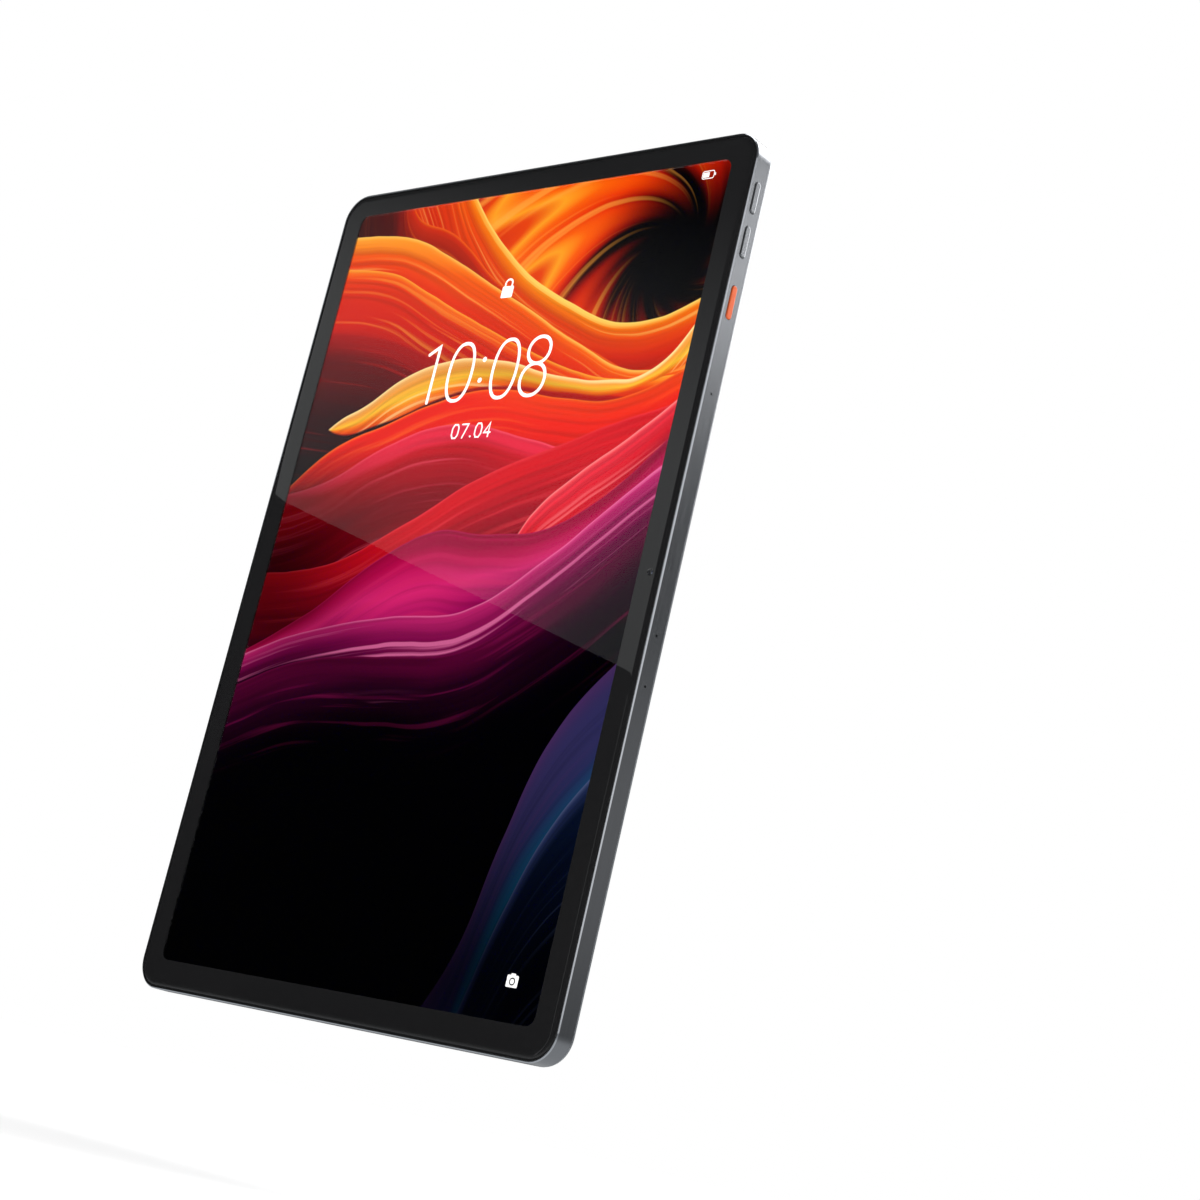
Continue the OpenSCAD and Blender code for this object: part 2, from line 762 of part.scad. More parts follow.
// ribbon that lies on the plate, climbs the board's edge and ends on its rear side
module ribbon(x, y0) {
    y1 = brd_y0 - 0.4;
    translate([x - flex_w / 2, y0, z_plate - flex_t]) cube([flex_w, y1 - y0, flex_t]);
    translate([x - flex_w / 2, y1 - flex_t, z_board - flex_t])
        cube([flex_w, flex_t, z_plate - z_board + flex_t]);
    translate([x - flex_w / 2, y1 - flex_t, z_board - flex_t]) cube([flex_w, 6, flex_t]);
}

module ribbon_relief(x) {
    translate([x - flex_w / 2 - 1, cell_y1, z_plate - 2]) cube([flex_w + 2, 4, 2]);
}

module display_flex() {
    color([0.8, 0.55, 0.2]) place() {
        ribbon(-flex_x, panel_low - flex_t);
        translate([-flex_x - flex_w / 2, panel_low - flex_t, z_plate - flex_t])
            cube([flex_w, flex_t, z_panel + 0.3 - z_plate + flex_t]);
    }
}

module link_flex() {
    color([0.75, 0.5, 0.15]) place() {
        ribbon(flex_x, sub_y1 - 2);
        translate([flex_x - flex_w / 2, sub_y1 - 2, z_sub + board_t])
            cube([flex_w, 2, z_plate - z_sub - board_t]);
    }
}

module sub_board() {
    color([0.04, 0.22, 0.1]) place() difference() {
        translate([0, sub_mid, 0]) block(sub_w, sub_h, z_sub, z_sub + board_t);
        screw_holes(sub_ends, z_sub - 1, z_plate);
    }
}

module port_shell() {
    color([0.75, 0.76, 0.78]) place() on_wall(3, 0, port_z) difference() {
        slab(port_w - e, port_h - e, port_h / 2 - touch_gap, -port_len, -0.1);
        slab(port_w - 2 * port_t, port_h - 2 * port_t, port_h / 2 - port_t - touch_gap, -port_len + 0.6, 1);
    }
}

module port_tongue() {
    color([0.08, 0.08, 0.08]) place() on_wall(3, 0, port_z)
        block(6.7, 0.7, -port_len + 0.6, -1.2);
}

// ---------- sound ----------

module speaker_modules() {
    color([0.06, 0.06, 0.06]) place() for (sx = [-1, 1], sy = [-1, 1])
        translate([sx * spk_x, sy * spk_y, 0]) difference() {
            slab(spk_len, spk_depth, 0.8, spk_z0, z_plate);
            for (s = [-1, 1]) {
                translate([s * (spk_len / 2 - 2), -sy * (spk_depth / 2 - 2), 0])
                    block(4.4, 4.4, spk_z0 - 1, z_plate - 1);
                translate([s * (spk_len / 2 - 2), -sy * (spk_depth / 2 - 2), 0])
                    disc(screw_r, spk_z0 - 1, z_plate + 1);
            }
        }
}

module speaker_meshes() {
    color([0.15, 0.15, 0.16]) place() for (side = [1, 3], s = [-1, 1])
        on_wall(side, s * spk_x, spk_z)
            block(spk_count * spk_pitch + 2, 1.6, -wall_t - mesh_t, -wall_t);
}

module microphones() {
    color([0.75, 0.7, 0.5]) place() for (m = mic_at)
        on_wall(0, m, z_plate - 1) block(4, 1.9, -wall_t - 1.2, -wall_t);
}

module antenna_carriers() {
    color([0.1, 0.1, 0.11]) place() for (sy = [-1, 1])
        translate([-(spk_x + spk_len / 2 + 12), sy * (in_y - 5.5), 0])
            slab(20, 9, 1, spk_z0, z_plate);
}

// ---------- card tray ----------

module card_socket() {
    color([0.7, 0.71, 0.73]) place() on_wall(2, tray_y + carrier_shift, (z_board + z_can + 0.1) / 2)
        difference() {
            h = z_board - z_can - 0.1;
            block(carrier_w + 2.4, h, -carrier_len - 3, -wall_t - 0.4);
            translate([0, tray_z - (z_board + z_can + 0.1) / 2, 0])
                block(carrier_w + 2 * socket_gap, carrier_t + 2 * socket_gap,
                    -carrier_len - 3 + socket_t, 0);
        }
}

module tray_carrier() {
    color([0.75, 0.76, 0.78]) place() on_wall(2, tray_y + carrier_shift, tray_z) difference() {
        block(carrier_w, carrier_t, -carrier_len, -cap_t - cap_set);
        translate([0, 0.15, 0])
            block(card_w, carrier_t, -carrier_len + 2, -carrier_len + 2 + card_h);
    }
}

module tray_cap() {
    color([0.42, 0.43, 0.45]) place() on_wall(2, tray_y, tray_z) difference() {
        slab(tray_len, tray_w, tray_w / 2 - touch_gap, -cap_t - cap_set, -cap_set);
        translate([eject_at, 0, 0]) disc(eject_r, -wall_t, 1);
    }
}

module tray_seal() {
    color([0.55, 0.1, 0.1]) place() on_wall(2, tray_y, tray_z) difference() {
        slab(tray_len - 0.1, tray_w - 0.1, tray_w / 2 - 0.1, -cap_t - cap_set - 0.35, -cap_t - cap_set);
        translate([-carrier_shift, 0, 0])
            block(carrier_w + e, carrier_t + e, -wall_t - 1, 0);
        translate([eject_at, 0, 0]) disc(eject_r + 0.05, -wall_t - 1, 1);
    }
}

// ---------- fasteners ----------

module screw(z_seat_at) {
    disc(screw_head_r, z_seat_at - 0.5, z_seat_at);
    disc(screw_r, z_seat_at, z_pan - 0.05);
}

module board_screws() {
    color([0.5, 0.5, 0.52]) place()
        for (s = screw_at) translate([s[0], s[1], 0]) screw(s[2]);
}

cover_glass();
glass_seal();
border_print();
perimeter_tape();
bonding_sheet();
display_panel();
film_stack();
light_guide();
led_bar();
backlight_pan();
side_frame();
mid_plate();
rear_cover();
volume_up_key();
volume_down_key();
smart_key();
power_key();
key_domes();
key_strips();
key_brackets();
island_bezel();
island_panel();
lens_ring();
lens_bevel();
lens_window();
lens_mask();
lens_barrel();
barrel_lens();
rear_camera_housing();
rear_camera_board();
rear_camera_flex();
flash_trim();
flash_disc();
flash_lens();
flash_led();
flash_board();
front_camera();
front_camera_lens();
battery_cell_left();
battery_cell_right();
battery_board();
battery_tape();
battery_flex();
main_board();
shield_cans();
board_plugs();
display_flex();
link_flex();
sub_board();
port_shell();
port_tongue();
speaker_modules();
speaker_meshes();
microphones();
antenna_carriers();
card_socket();
tray_carrier();
tray_cap();
tray_seal();
board_screws();
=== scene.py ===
import math

import bmesh
import bpy
from mathutils import Matrix, Vector


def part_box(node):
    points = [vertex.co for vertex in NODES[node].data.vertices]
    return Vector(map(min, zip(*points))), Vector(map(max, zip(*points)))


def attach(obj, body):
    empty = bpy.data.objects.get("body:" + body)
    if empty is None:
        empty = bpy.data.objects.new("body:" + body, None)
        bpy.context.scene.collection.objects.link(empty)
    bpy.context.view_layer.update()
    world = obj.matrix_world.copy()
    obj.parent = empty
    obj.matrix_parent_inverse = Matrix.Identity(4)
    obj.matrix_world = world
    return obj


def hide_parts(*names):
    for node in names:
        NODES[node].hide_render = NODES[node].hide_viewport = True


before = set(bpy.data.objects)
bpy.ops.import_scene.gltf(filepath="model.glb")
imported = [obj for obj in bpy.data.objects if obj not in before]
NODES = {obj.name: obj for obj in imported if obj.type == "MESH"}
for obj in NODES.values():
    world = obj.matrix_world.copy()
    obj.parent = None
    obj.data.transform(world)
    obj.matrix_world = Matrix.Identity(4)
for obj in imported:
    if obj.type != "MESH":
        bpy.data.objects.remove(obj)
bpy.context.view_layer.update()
MM = 0.001

# ---------------------------------------------------------------- camera

CAMERA_PLACE = Vector((0.45200, -0.42011, -0.14585))
CAMERA_RIGHT = Vector((0.74642, 0.62766, 0.22112))
CAMERA_UP = Vector((-0.00746, -0.32435, 0.94591))
CAMERA_BACK = Vector((0.66543, -0.70769, -0.23742))
CAMERA_LENS_MM = 66.74
SENSOR_WIDTH_MM = 36.0


def make_camera():
    data = bpy.data.cameras.new("camera")
    data.sensor_width = SENSOR_WIDTH_MM
    data.lens = CAMERA_LENS_MM
    data.clip_start = 0.01
    data.clip_end = 60.0
    camera = bpy.data.objects.new("camera", data)
    bpy.context.collection.objects.link(camera)
    turn = Matrix((CAMERA_RIGHT, CAMERA_UP, CAMERA_BACK)).transposed()
    camera.matrix_world = Matrix.Translation(CAMERA_PLACE) @ turn.to_4x4()
    bpy.context.scene.camera = camera


make_camera()
bpy.context.scene.view_settings.view_transform = "Standard"

# ---------------------------------------------------------------- material helpers


def tone(red, green, blue):
    """A colour written as 0 to 255 screen values, as linear light."""
    def linear(value):
        value /= 255.0
        return value / 12.92 if value <= 0.04045 else ((value + 0.055) / 1.055) ** 2.4
    return (linear(red), linear(green), linear(blue), 1.0)


def scaled(colour, factor):
    return tuple(min(1.0, part * factor) for part in colour[:3]) + (1.0,)


class Tree:
    """The node tree of a world or a material, built node by node."""

    def __init__(self, owner, output):
        owner.use_nodes = True
        self.nodes = owner.node_tree.nodes
        self.links = owner.node_tree.links
        self.nodes.clear()
        self.output = self.add(output)

    def put(self, socket, value):
        if isinstance(value, bpy.types.NodeSocket):
            self.links.new(value, socket)
        else:
            socket.default_value = value

    def add(self, kind, sockets=None, **settings):
        node = self.nodes.new("ShaderNode" + kind)
        for key, value in settings.items():
            setattr(node, key, value)
        for key, value in (sockets or {}).items():
            self.put(node.inputs[key], value)
        return node

    def math(self, operation, a, b=0.0):
        node = self.add("Math", operation=operation)
        self.put(node.inputs[0], a)
        self.put(node.inputs[1], b)
        return node.outputs[0]

    def times(self, a, b):
        return self.math("MULTIPLY", a, b)

    def plus(self, a, b):
        return self.math("ADD", a, b)

    def minus(self, a, b):
        return self.math("SUBTRACT", a, b)

    def remap(self, value, low, high, to_low=0.0, to_high=1.0, smooth=False):
        node = self.add("MapRange", {"Value": value, "From Min": low, "From Max": high,
                                     "To Min": to_low, "To Max": to_high})
        node.clamp = True
        if smooth:
            node.interpolation_type = "SMOOTHSTEP"
        return node.outputs[0]


class Shade(Tree):
    """One material."""

    def __init__(self, name):
        self.material = bpy.data.materials.new(name)
        super().__init__(self.material, "OutputMaterial")
        self.place = None

    def coords(self):
        """Object coordinates, which are the frame's own places in metres."""
        if self.place is None:
            self.place = self.add("TexCoord").outputs["Object"]
        return self.place

    def axes(self):
        split = self.add("SeparateXYZ", {0: self.coords()})
        return split.outputs[0], split.outputs[1], split.outputs[2]

    def vector(self, x, y=0.0, z=0.0):
        return self.add("CombineXYZ", {0: x, 1: y, 2: z}).outputs[0]

    def stretch(self, x, y, z, turn=(0.0, 0.0, 0.0)):
        node = self.add("Mapping", {"Vector": self.coords()})
        node.inputs["Scale"].default_value = (x, y, z)
        node.inputs["Rotation"].default_value = turn
        return node.outputs[0]

    def noise(self, scale, detail=3.0, where=None, rough=0.5):
        node = self.add("TexNoise", {"Vector": where or self.coords(), "Scale": scale,
                                     "Detail": detail, "Roughness": rough})
        return node.outputs["Fac"]

    def blend(self, fac, a, b, mode="MIX"):
        node = self.add("Mix", data_type="RGBA", blend_type=mode)
        self.put(node.inputs[0], fac)
        self.put(node.inputs[6], a)
        self.put(node.inputs[7], b)
        return node.outputs[2]

    def ramp(self, value, stops):
        """A run of colours. Stops are (place, red, green, blue)."""
        node = self.add("ValToRGB", {"Fac": value})
        band = node.color_ramp
        while len(band.elements) < len(stops):
            band.elements.new(0.5)
        for element, (place, *parts) in zip(band.elements, stops):
            element.position = place
            element.color = tone(*parts)
        return node.outputs["Color"]

    def bump(self, height, strength=0.3, distance=0.0001):
        node = self.add("Bump", {"Height": height, "Strength": strength, "Distance": distance})
        return node.outputs["Normal"]

    def varied(self, fac, colour, low, high):
        """A colour that wanders between two strengths of itself."""
        return self.blend(fac, scaled(colour, low), scaled(colour, high))

    def specked(self, fac, amount, base, speck):
        """A base colour with a share of another where fac is high."""
        return self.blend(self.times(fac, amount), base, speck)

    def wiped_marks(self):
        """Long faint marks, as a finger or a cloth leaves on gloss."""
        return self.noise(35.0, 6.0, self.stretch(1.0, 1.0, 0.3, (0.0, 0.7, 0.0)))

    def principled(self, **inputs):
        """The surface itself. An underscore in an input's name stands for a space."""
        node = self.add("BsdfPrincipled")
        for key, value in inputs.items():
            self.put(node.inputs[key.replace("_", " ")], value)
        self.links.new(node.outputs[0], self.output.inputs[0])


def plain_surface(name, colour, roughness, metallic=0.0, tint=0.08, grain=2500.0, depth=0.000012, coat=0.0):
    """A moulded, plated or printed surface: clouded colour, fine grain, uneven gloss."""
    s = Shade(name)
    clouds = s.noise(60.0, 4.0)
    fine = s.noise(grain, 2.0)
    base = s.varied(clouds, colour, 1.0 - tint, 1.0 + tint)
    base = s.specked(fine, 0.25, base, scaled(colour, 0.8))
    gloss = s.remap(s.plus(s.times(clouds, 0.6), s.times(fine, 0.4)),
                    0.25, 0.75, roughness - 0.06, roughness + 0.06)
    s.principled(Base_Color=base, Metallic=metallic, Roughness=gloss, Normal=s.bump(fine, 0.35, depth),
                 Coat_Weight=coat, Coat_Roughness=0.08)
    return s.material


# ---------------------------------------------------------------- materials

GREY_METAL = tone(152, 154, 158)
WHITE = (1.0, 1.0, 1.0, 1.0)

# depths between which the side wall's front edge turns from cut to blasted
CUT_BRIGHT_Y = -0.00688
CUT_DULL_Y = -0.00682

# half sizes of the rear shell, and how far in from its edges hands have polished it
SHELL_HALF_X = 0.0832
SHELL_HALF_Z = 0.1277
WORN_X = 0.0072
WORN_Z = 0.0087

# the ribbed band and the camera island on the rear
BAND_X = (33.6 * MM, 78.6 * MM)
BAND_Z = 123.1 * MM
BAND_RADIUS = 4.0 * MM
# depths between which the floor of the ribbed band takes its painted shade
GROOVE_SHADE_FULL_Y = -0.00023
GROOVE_SHADE_END_Y = -0.00021
ISLAND_X = (39.0 * MM, 73.0 * MM)
ISLAND_Z = (72.6 * MM, 119.4 * MM)
ISLAND_RADIUS = 4.4 * MM


def anodised_frame():
    """Blasted and anodised side wall, with its front edge cut bright afterwards."""
    s = Shade("anodised_frame")
    _, y, _ = s.axes()
    fine = s.noise(9000.0, 2.0)
    mid = s.noise(420.0, 4.0)
    cloud = s.noise(26.0, 3.0)
    cut = s.remap(y, CUT_BRIGHT_Y, CUT_DULL_Y, 1.0, 0.0)
    base = s.varied(cloud, GREY_METAL, 0.92, 1.06)
    base = s.specked(fine, 0.3, base, scaled(GREY_METAL, 0.78))
    base = s.blend(cut, base, tone(205, 208, 214))
    rub = s.noise(240.0, 5.0, s.stretch(1.0, 6.0, 0.35))
    gloss = s.remap(rub, 0.3, 0.7, 0.19, 0.26)
    gloss = s.plus(gloss, s.times(cut, -0.06))
    height = s.plus(s.times(fine, 0.75), s.times(mid, 0.25))
    matt = s.minus(1.0, cut)
    normal = s.bump(s.times(height, matt), 0.32, 0.000010)
    s.principled(Base_Color=base, Metallic=1.0, Roughness=gloss, Normal=normal)
    return s.material


def anodised_key(name, colour, metallic, rough):
    """A small key: fine grain, polished where a finger rubs it."""
    s = Shade(name)
    fine = s.noise(9000.0, 2.0)
    rubbed = s.noise(700.0, 3.0, s.stretch(1.0, 1.0, 0.4))
    base = s.varied(rubbed, colour, 0.93, 1.07)
    base = s.specked(fine, 0.2, base, scaled(colour, 0.8))
    gloss = s.remap(rubbed, 0.3, 0.7, rough - 0.06, rough + 0.05)
    s.principled(Base_Color=base, Metallic=metallic, Roughness=gloss,
                 Normal=s.bump(fine, 0.3, 0.000010))
    return s.material


def satin_cover(name, colour, rough, depth=0.000012, groove_shade=1.0):
    """Satin coating on the rear shell: fine sparkle, faint brushing, hand wear near the edge.

    Its last setting is how strongly painted shade darkens the floor of the ribbed band between the ribs.
    """
    s = Shade(name)
    x, y, z = s.axes()
    fine = s.noise(7000.0, 2.0)
    cloud = s.noise(18.0, 4.0)
    smear = s.noise(60.0, 5.0, s.stretch(1.0, 1.0, 0.25, (0.0, 0.5, 0.0)))
    side = s.math("ABSOLUTE", x)
    end = s.math("ABSOLUTE", z)
    near = s.math("MAXIMUM", s.remap(side, SHELL_HALF_X - WORN_X, SHELL_HALF_X),
                  s.remap(end, SHELL_HALF_Z - WORN_Z, SHELL_HALF_Z))
    base = s.varied(cloud, colour, 0.93, 1.07)
    base = s.specked(fine, 0.30, base, scaled(colour, 1.35))
    base = s.specked(near, 0.25, base, scaled(colour, 1.5))
    gloss = s.remap(smear, 0.3, 0.7, rough - 0.05, rough + 0.06)
    gloss = s.plus(gloss, s.times(near, -0.05))
    # painted shade: the floor of the ribbed band is darkened between the ribs, where shade falls
    deep = s.remap(y, GROOVE_SHADE_FULL_Y, GROOVE_SHADE_END_Y, 1.0, 0.0)
    across = s.times(s.remap(x, BAND_X[0] - 0.1 * MM, BAND_X[0]),
                     s.remap(x, BAND_X[1], BAND_X[1] + 0.1 * MM, 1.0, 0.0))
    along = s.remap(end, BAND_Z, BAND_Z + 0.1 * MM, 1.0, 0.0)
    sunk = s.times(s.times(deep, across), s.times(along, groove_shade))
    base = s.blend(sunk, base, scaled(colour, 0.16))
    s.principled(Base_Color=base, Metallic=0.35, Roughness=gloss,
                 Normal=s.bump(fine, 0.28, depth))
    return s.material


def clear_glass(name, tint_colour, ior, smudge):
    """Glass with a trace of wiped finger marks in its gloss."""
    s = Shade(name)
    marks = s.wiped_marks()
    fine = s.noise(900.0, 3.0)
    gloss = s.remap(s.times(marks, fine), 0.12, 0.45, 0.0, smudge)
    base = s.blend(marks, tint_colour, scaled(tint_colour, 0.985))
    s.principled(Base_Color=base, Roughness=gloss, Transmission_Weight=1.0, IOR=ior)
    return s.material


def glass_print(name, colour):
    """Print or a coating seen through glass: hard gloss, faint wiped marks, fine grain."""
    s = Shade(name)
    cloud = s.noise(30.0, 4.0)
    grain = s.noise(3800.0, 2.0)
    base = s.varied(cloud, colour, 0.92, 1.08)
    base = s.specked(grain, 0.2, base, scaled(colour, 0.7))
    s.principled(Base_Color=base, Roughness=s.remap(s.wiped_marks(), 0.3, 0.8, 0.0, 0.03), IOR=1.5)
    return s.material


def gloss_black(name, colour, rough, coat):
    """Printed or moulded black under a clear layer, with dust-fine specks and uneven gloss."""
    s = Shade(name)
    specks = s.remap(s.noise(5200.0, 2.0), 0.66, 0.80, 0.0, 1.0)
    cloud = s.noise(45.0, 4.0)
    base = s.varied(cloud, colour, 0.85, 1.15)
    base = s.specked(specks, 0.18, base, scaled(colour, 3.0))
    gloss = s.remap(cloud, 0.3, 0.7, rough - 0.02, rough + 0.03)
    s.principled(Base_Color=base, Roughness=gloss, Normal=s.bump(s.noise(1800.0, 2.0), 0.05, 0.000005),
                 Coat_Weight=coat, Coat_Roughness=0.03)
    return s.material


def brushed_metal(name, colour, rough, along):
    """Turned or drawn metal with fine lines along one axis."""
    s = Shade(name)
    lines = s.noise(1.0, 3.0, s.stretch(*(120.0 if axis == along else 4200.0 for axis in "xyz")))
    cloud = s.noise(90.0, 3.0)
    base = s.varied(lines, colour, 0.85, 1.08)
    gloss = s.remap(s.times(lines, cloud), 0.1, 0.45, rough - 0.05, rough + 0.08)
    s.principled(Base_Color=base, Metallic=1.0, Roughness=gloss,
                 Normal=s.bump(lines, 0.2, 0.000006))
    return s.material


def circuit_board(name, colour):
    """Solder mask over copper tracks and pads."""
    s = Shade(name)
    brick = s.add("TexBrick", {"Vector": s.stretch(1.0, 1.0, 1.0, (math.pi / 2, 0.0, 0.0)),
                               "Scale": 260.0, "Mortar Size": 0.06,
                               "Color1": scaled(colour, 0.9), "Color2": scaled(colour, 1.2),
                               "Mortar": scaled(colour, 1.8)})
    pads = s.add("TexVoronoi", {"Vector": s.coords(), "Scale": 620.0})
    pad = s.remap(pads.outputs["Distance"], 0.18, 0.22, 1.0, 0.0)
    rare = s.remap(s.noise(140.0, 2.0), 0.52, 0.56)
    pad = s.times(pad, rare)
    base = s.blend(pad, brick.outputs["Color"], tone(214, 182, 108))
    gloss = s.remap(s.noise(300.0, 3.0), 0.3, 0.7, 0.28, 0.42)
    s.principled(Base_Color=base, Metallic=s.times(pad, 0.9), Roughness=gloss,
                 Normal=s.bump(brick.outputs["Fac"], 0.3, 0.00002))
    return s.material


def foil_wrap(name, colour):
    """Crinkled laminated foil of a pouch cell."""
    s = Shade(name)
    folds = s.noise(120.0, 5.0, rough=0.6)
    fine = s.noise(1400.0, 3.0)
    base = s.varied(folds, colour, 0.85, 1.1)
    gloss = s.remap(fine, 0.3, 0.7, 0.22, 0.4)
    s.principled(Base_Color=base, Metallic=0.9, Roughness=gloss,
                 Normal=s.bump(folds, 0.5, 0.0001))
    return s.material


def glowing(name, colour, strength, pattern):
    """A phosphor or light guide with an uneven glow over a dotted pattern; the glow is real light on the
    backlight's LED bar and painted glow on the unlit flash.
    """
    s = Shade(name)
    dots = s.add("TexVoronoi", {"Vector": s.coords(), "Scale": pattern}).outputs["Distance"]
    base = s.varied(dots, colour, 1.05, 0.8)
    gloss = s.remap(s.noise(pattern, 2.0), 0.3, 0.7, 0.25, 0.4)
    s.principled(Base_Color=base, Roughness=gloss, Emission_Color=base, Emission_Strength=strength,
                 Normal=s.bump(dots, 0.3, 0.00001))
    return s.material


def icon_white():
    s = Shade("icon_white")
    soft = s.noise(220.0, 2.0)
    base = s.blend(soft, tone(236, 234, 234), tone(255, 253, 250))
    s.principled(Base_Color=base, Emission_Color=base, Emission_Strength=0.9,
                 Roughness=s.remap(soft, 0.2, 0.8, 0.45, 0.6))
    return s.material


# ---------------------------------------------------------------- the screen's picture

SCREEN_HALF_W = 0.0747
SCREEN_LOW = -0.1190
SCREEN_TALL = 0.2390


class Picture(Shade):
    """Flowing folds of light. Places are fractions of the lit area: across 0 to 1, up 0 to 1."""

    def __init__(self, name):
        super().__init__(name)
        x, _, z = self.axes()
        waver = self.noise(26.0, 3.0)
        self.across = self.remap(x, -SCREEN_HALF_W, SCREEN_HALF_W)
        up = self.math("DIVIDE", self.minus(z, SCREEN_LOW), SCREEN_TALL)
        self.level = self.plus(up, self.times(self.minus(waver, 0.5), 0.012))
        self.seed = 0.0

    def curve(self, points):
        """Height of a line across the screen, from a few places on it."""
        node = self.add("FloatCurve", {"Value": self.across})
        node.mapping.use_clip = False
        line = node.mapping.curves[0]
        while len(line.points) < len(points):
            line.points.new(0.5, 0.5)
        for point, (across, up) in zip(line.points, points):
            point.location = (across, up)
            point.handle_type = "AUTO"
        node.mapping.update()
        return node.outputs[0]

    def streaks(self, along, over, fine, coarse, detail=1.5):
        """Uneven lines, fine across their run and coarse along it, new at each call."""
        self.seed += 3.7
        where = self.vector(self.times(over, fine), self.times(along, coarse), self.seed)
        return self.noise(1.0, detail, where, 0.45)

    def fold(self, under, top, low, stops, edge, rim, fine, coarse=1.0, streak=0.5,
             hair=0.16, soft_low=0.004, rim_power=0.85):
        """One fold of cloth between two lines, lit along its upper edge and falling into shade."""
        edge = tone(*edge)
        upper = self.curve(top)
        lower = self.curve(low)
        below = self.minus(upper, self.level)
        above = self.minus(self.level, lower)
        tall = self.math("MAXIMUM", self.minus(upper, lower), 0.001)
        down = self.math("DIVIDE", below, tall)
        lines = self.streaks(self.across, below, fine, coarse)
        threads = self.streaks(self.across, below, fine * 7.0, coarse * 1.2, 2.0)
        wave = self.plus(down, self.times(self.minus(lines, 0.5), streak))
        colour = self.ramp(wave, stops)
        lit = self.remap(threads, 0.58, 0.70, 0.0, hair * 2.2)
        dark = self.remap(threads, 0.30, 0.50, 1.0 - hair, 1.0)
        colour = self.blend(1.0, colour, self.vector(dark, dark, dark), "MULTIPLY")
        colour = self.blend(lit, colour, edge)
        bright = self.math("POWER", self.remap(below, 0.0, rim, 1.0, 0.0), 1.6)
        colour = self.blend(self.times(bright, rim_power), colour, edge)
        inside = self.times(self.remap(below, 0.0, 0.0012), self.remap(above, 0.0, soft_low, smooth=True))
        return self.blend(inside, under, colour)


def whirl(p, black):
    """Warm streaks that turn round a dark hollow in the upper right."""
    right = p.minus(p.across, 0.905)
    high = p.times(p.minus(p.level, 0.885), 1.6)
    far = p.math("SQRT", p.plus(p.times(right, right), p.times(high, high)))
    turn = p.math("ARCTAN2", high, p.times(right, -1.0))
    reach = p.math("LOGARITHM", p.plus(far, 0.02), math.e)
    spin = p.plus(turn, p.times(reach, 1.1))
    spokes = p.streaks(far, spin, 2.3, 0.9, 1.0)
    hairs = p.streaks(far, spin, 11.0, 1.2)
    glow = p.plus(p.remap(far, 0.05, 0.66), p.times(p.minus(spokes, 0.5), 1.15))
    colour = p.ramp(glow, [(0.0, 0, 0, 5), (0.10, 70, 10, 6), (0.22, 196, 44, 8), (0.36, 236, 84, 10),
                           (0.50, 246, 120, 18), (0.60, 250, 176, 56), (0.68, 232, 92, 12),
                           (0.82, 206, 52, 10), (1.0, 120, 22, 10)])
    thread = p.remap(hairs, 0.58, 0.70, 0.0, 0.55)
    colour = p.blend(thread, colour, tone(255, 190, 96))
    hollow = p.remap(far, 0.07, 0.24, 0.0, 1.0, smooth=True)
    return p.blend(hollow, black, colour)


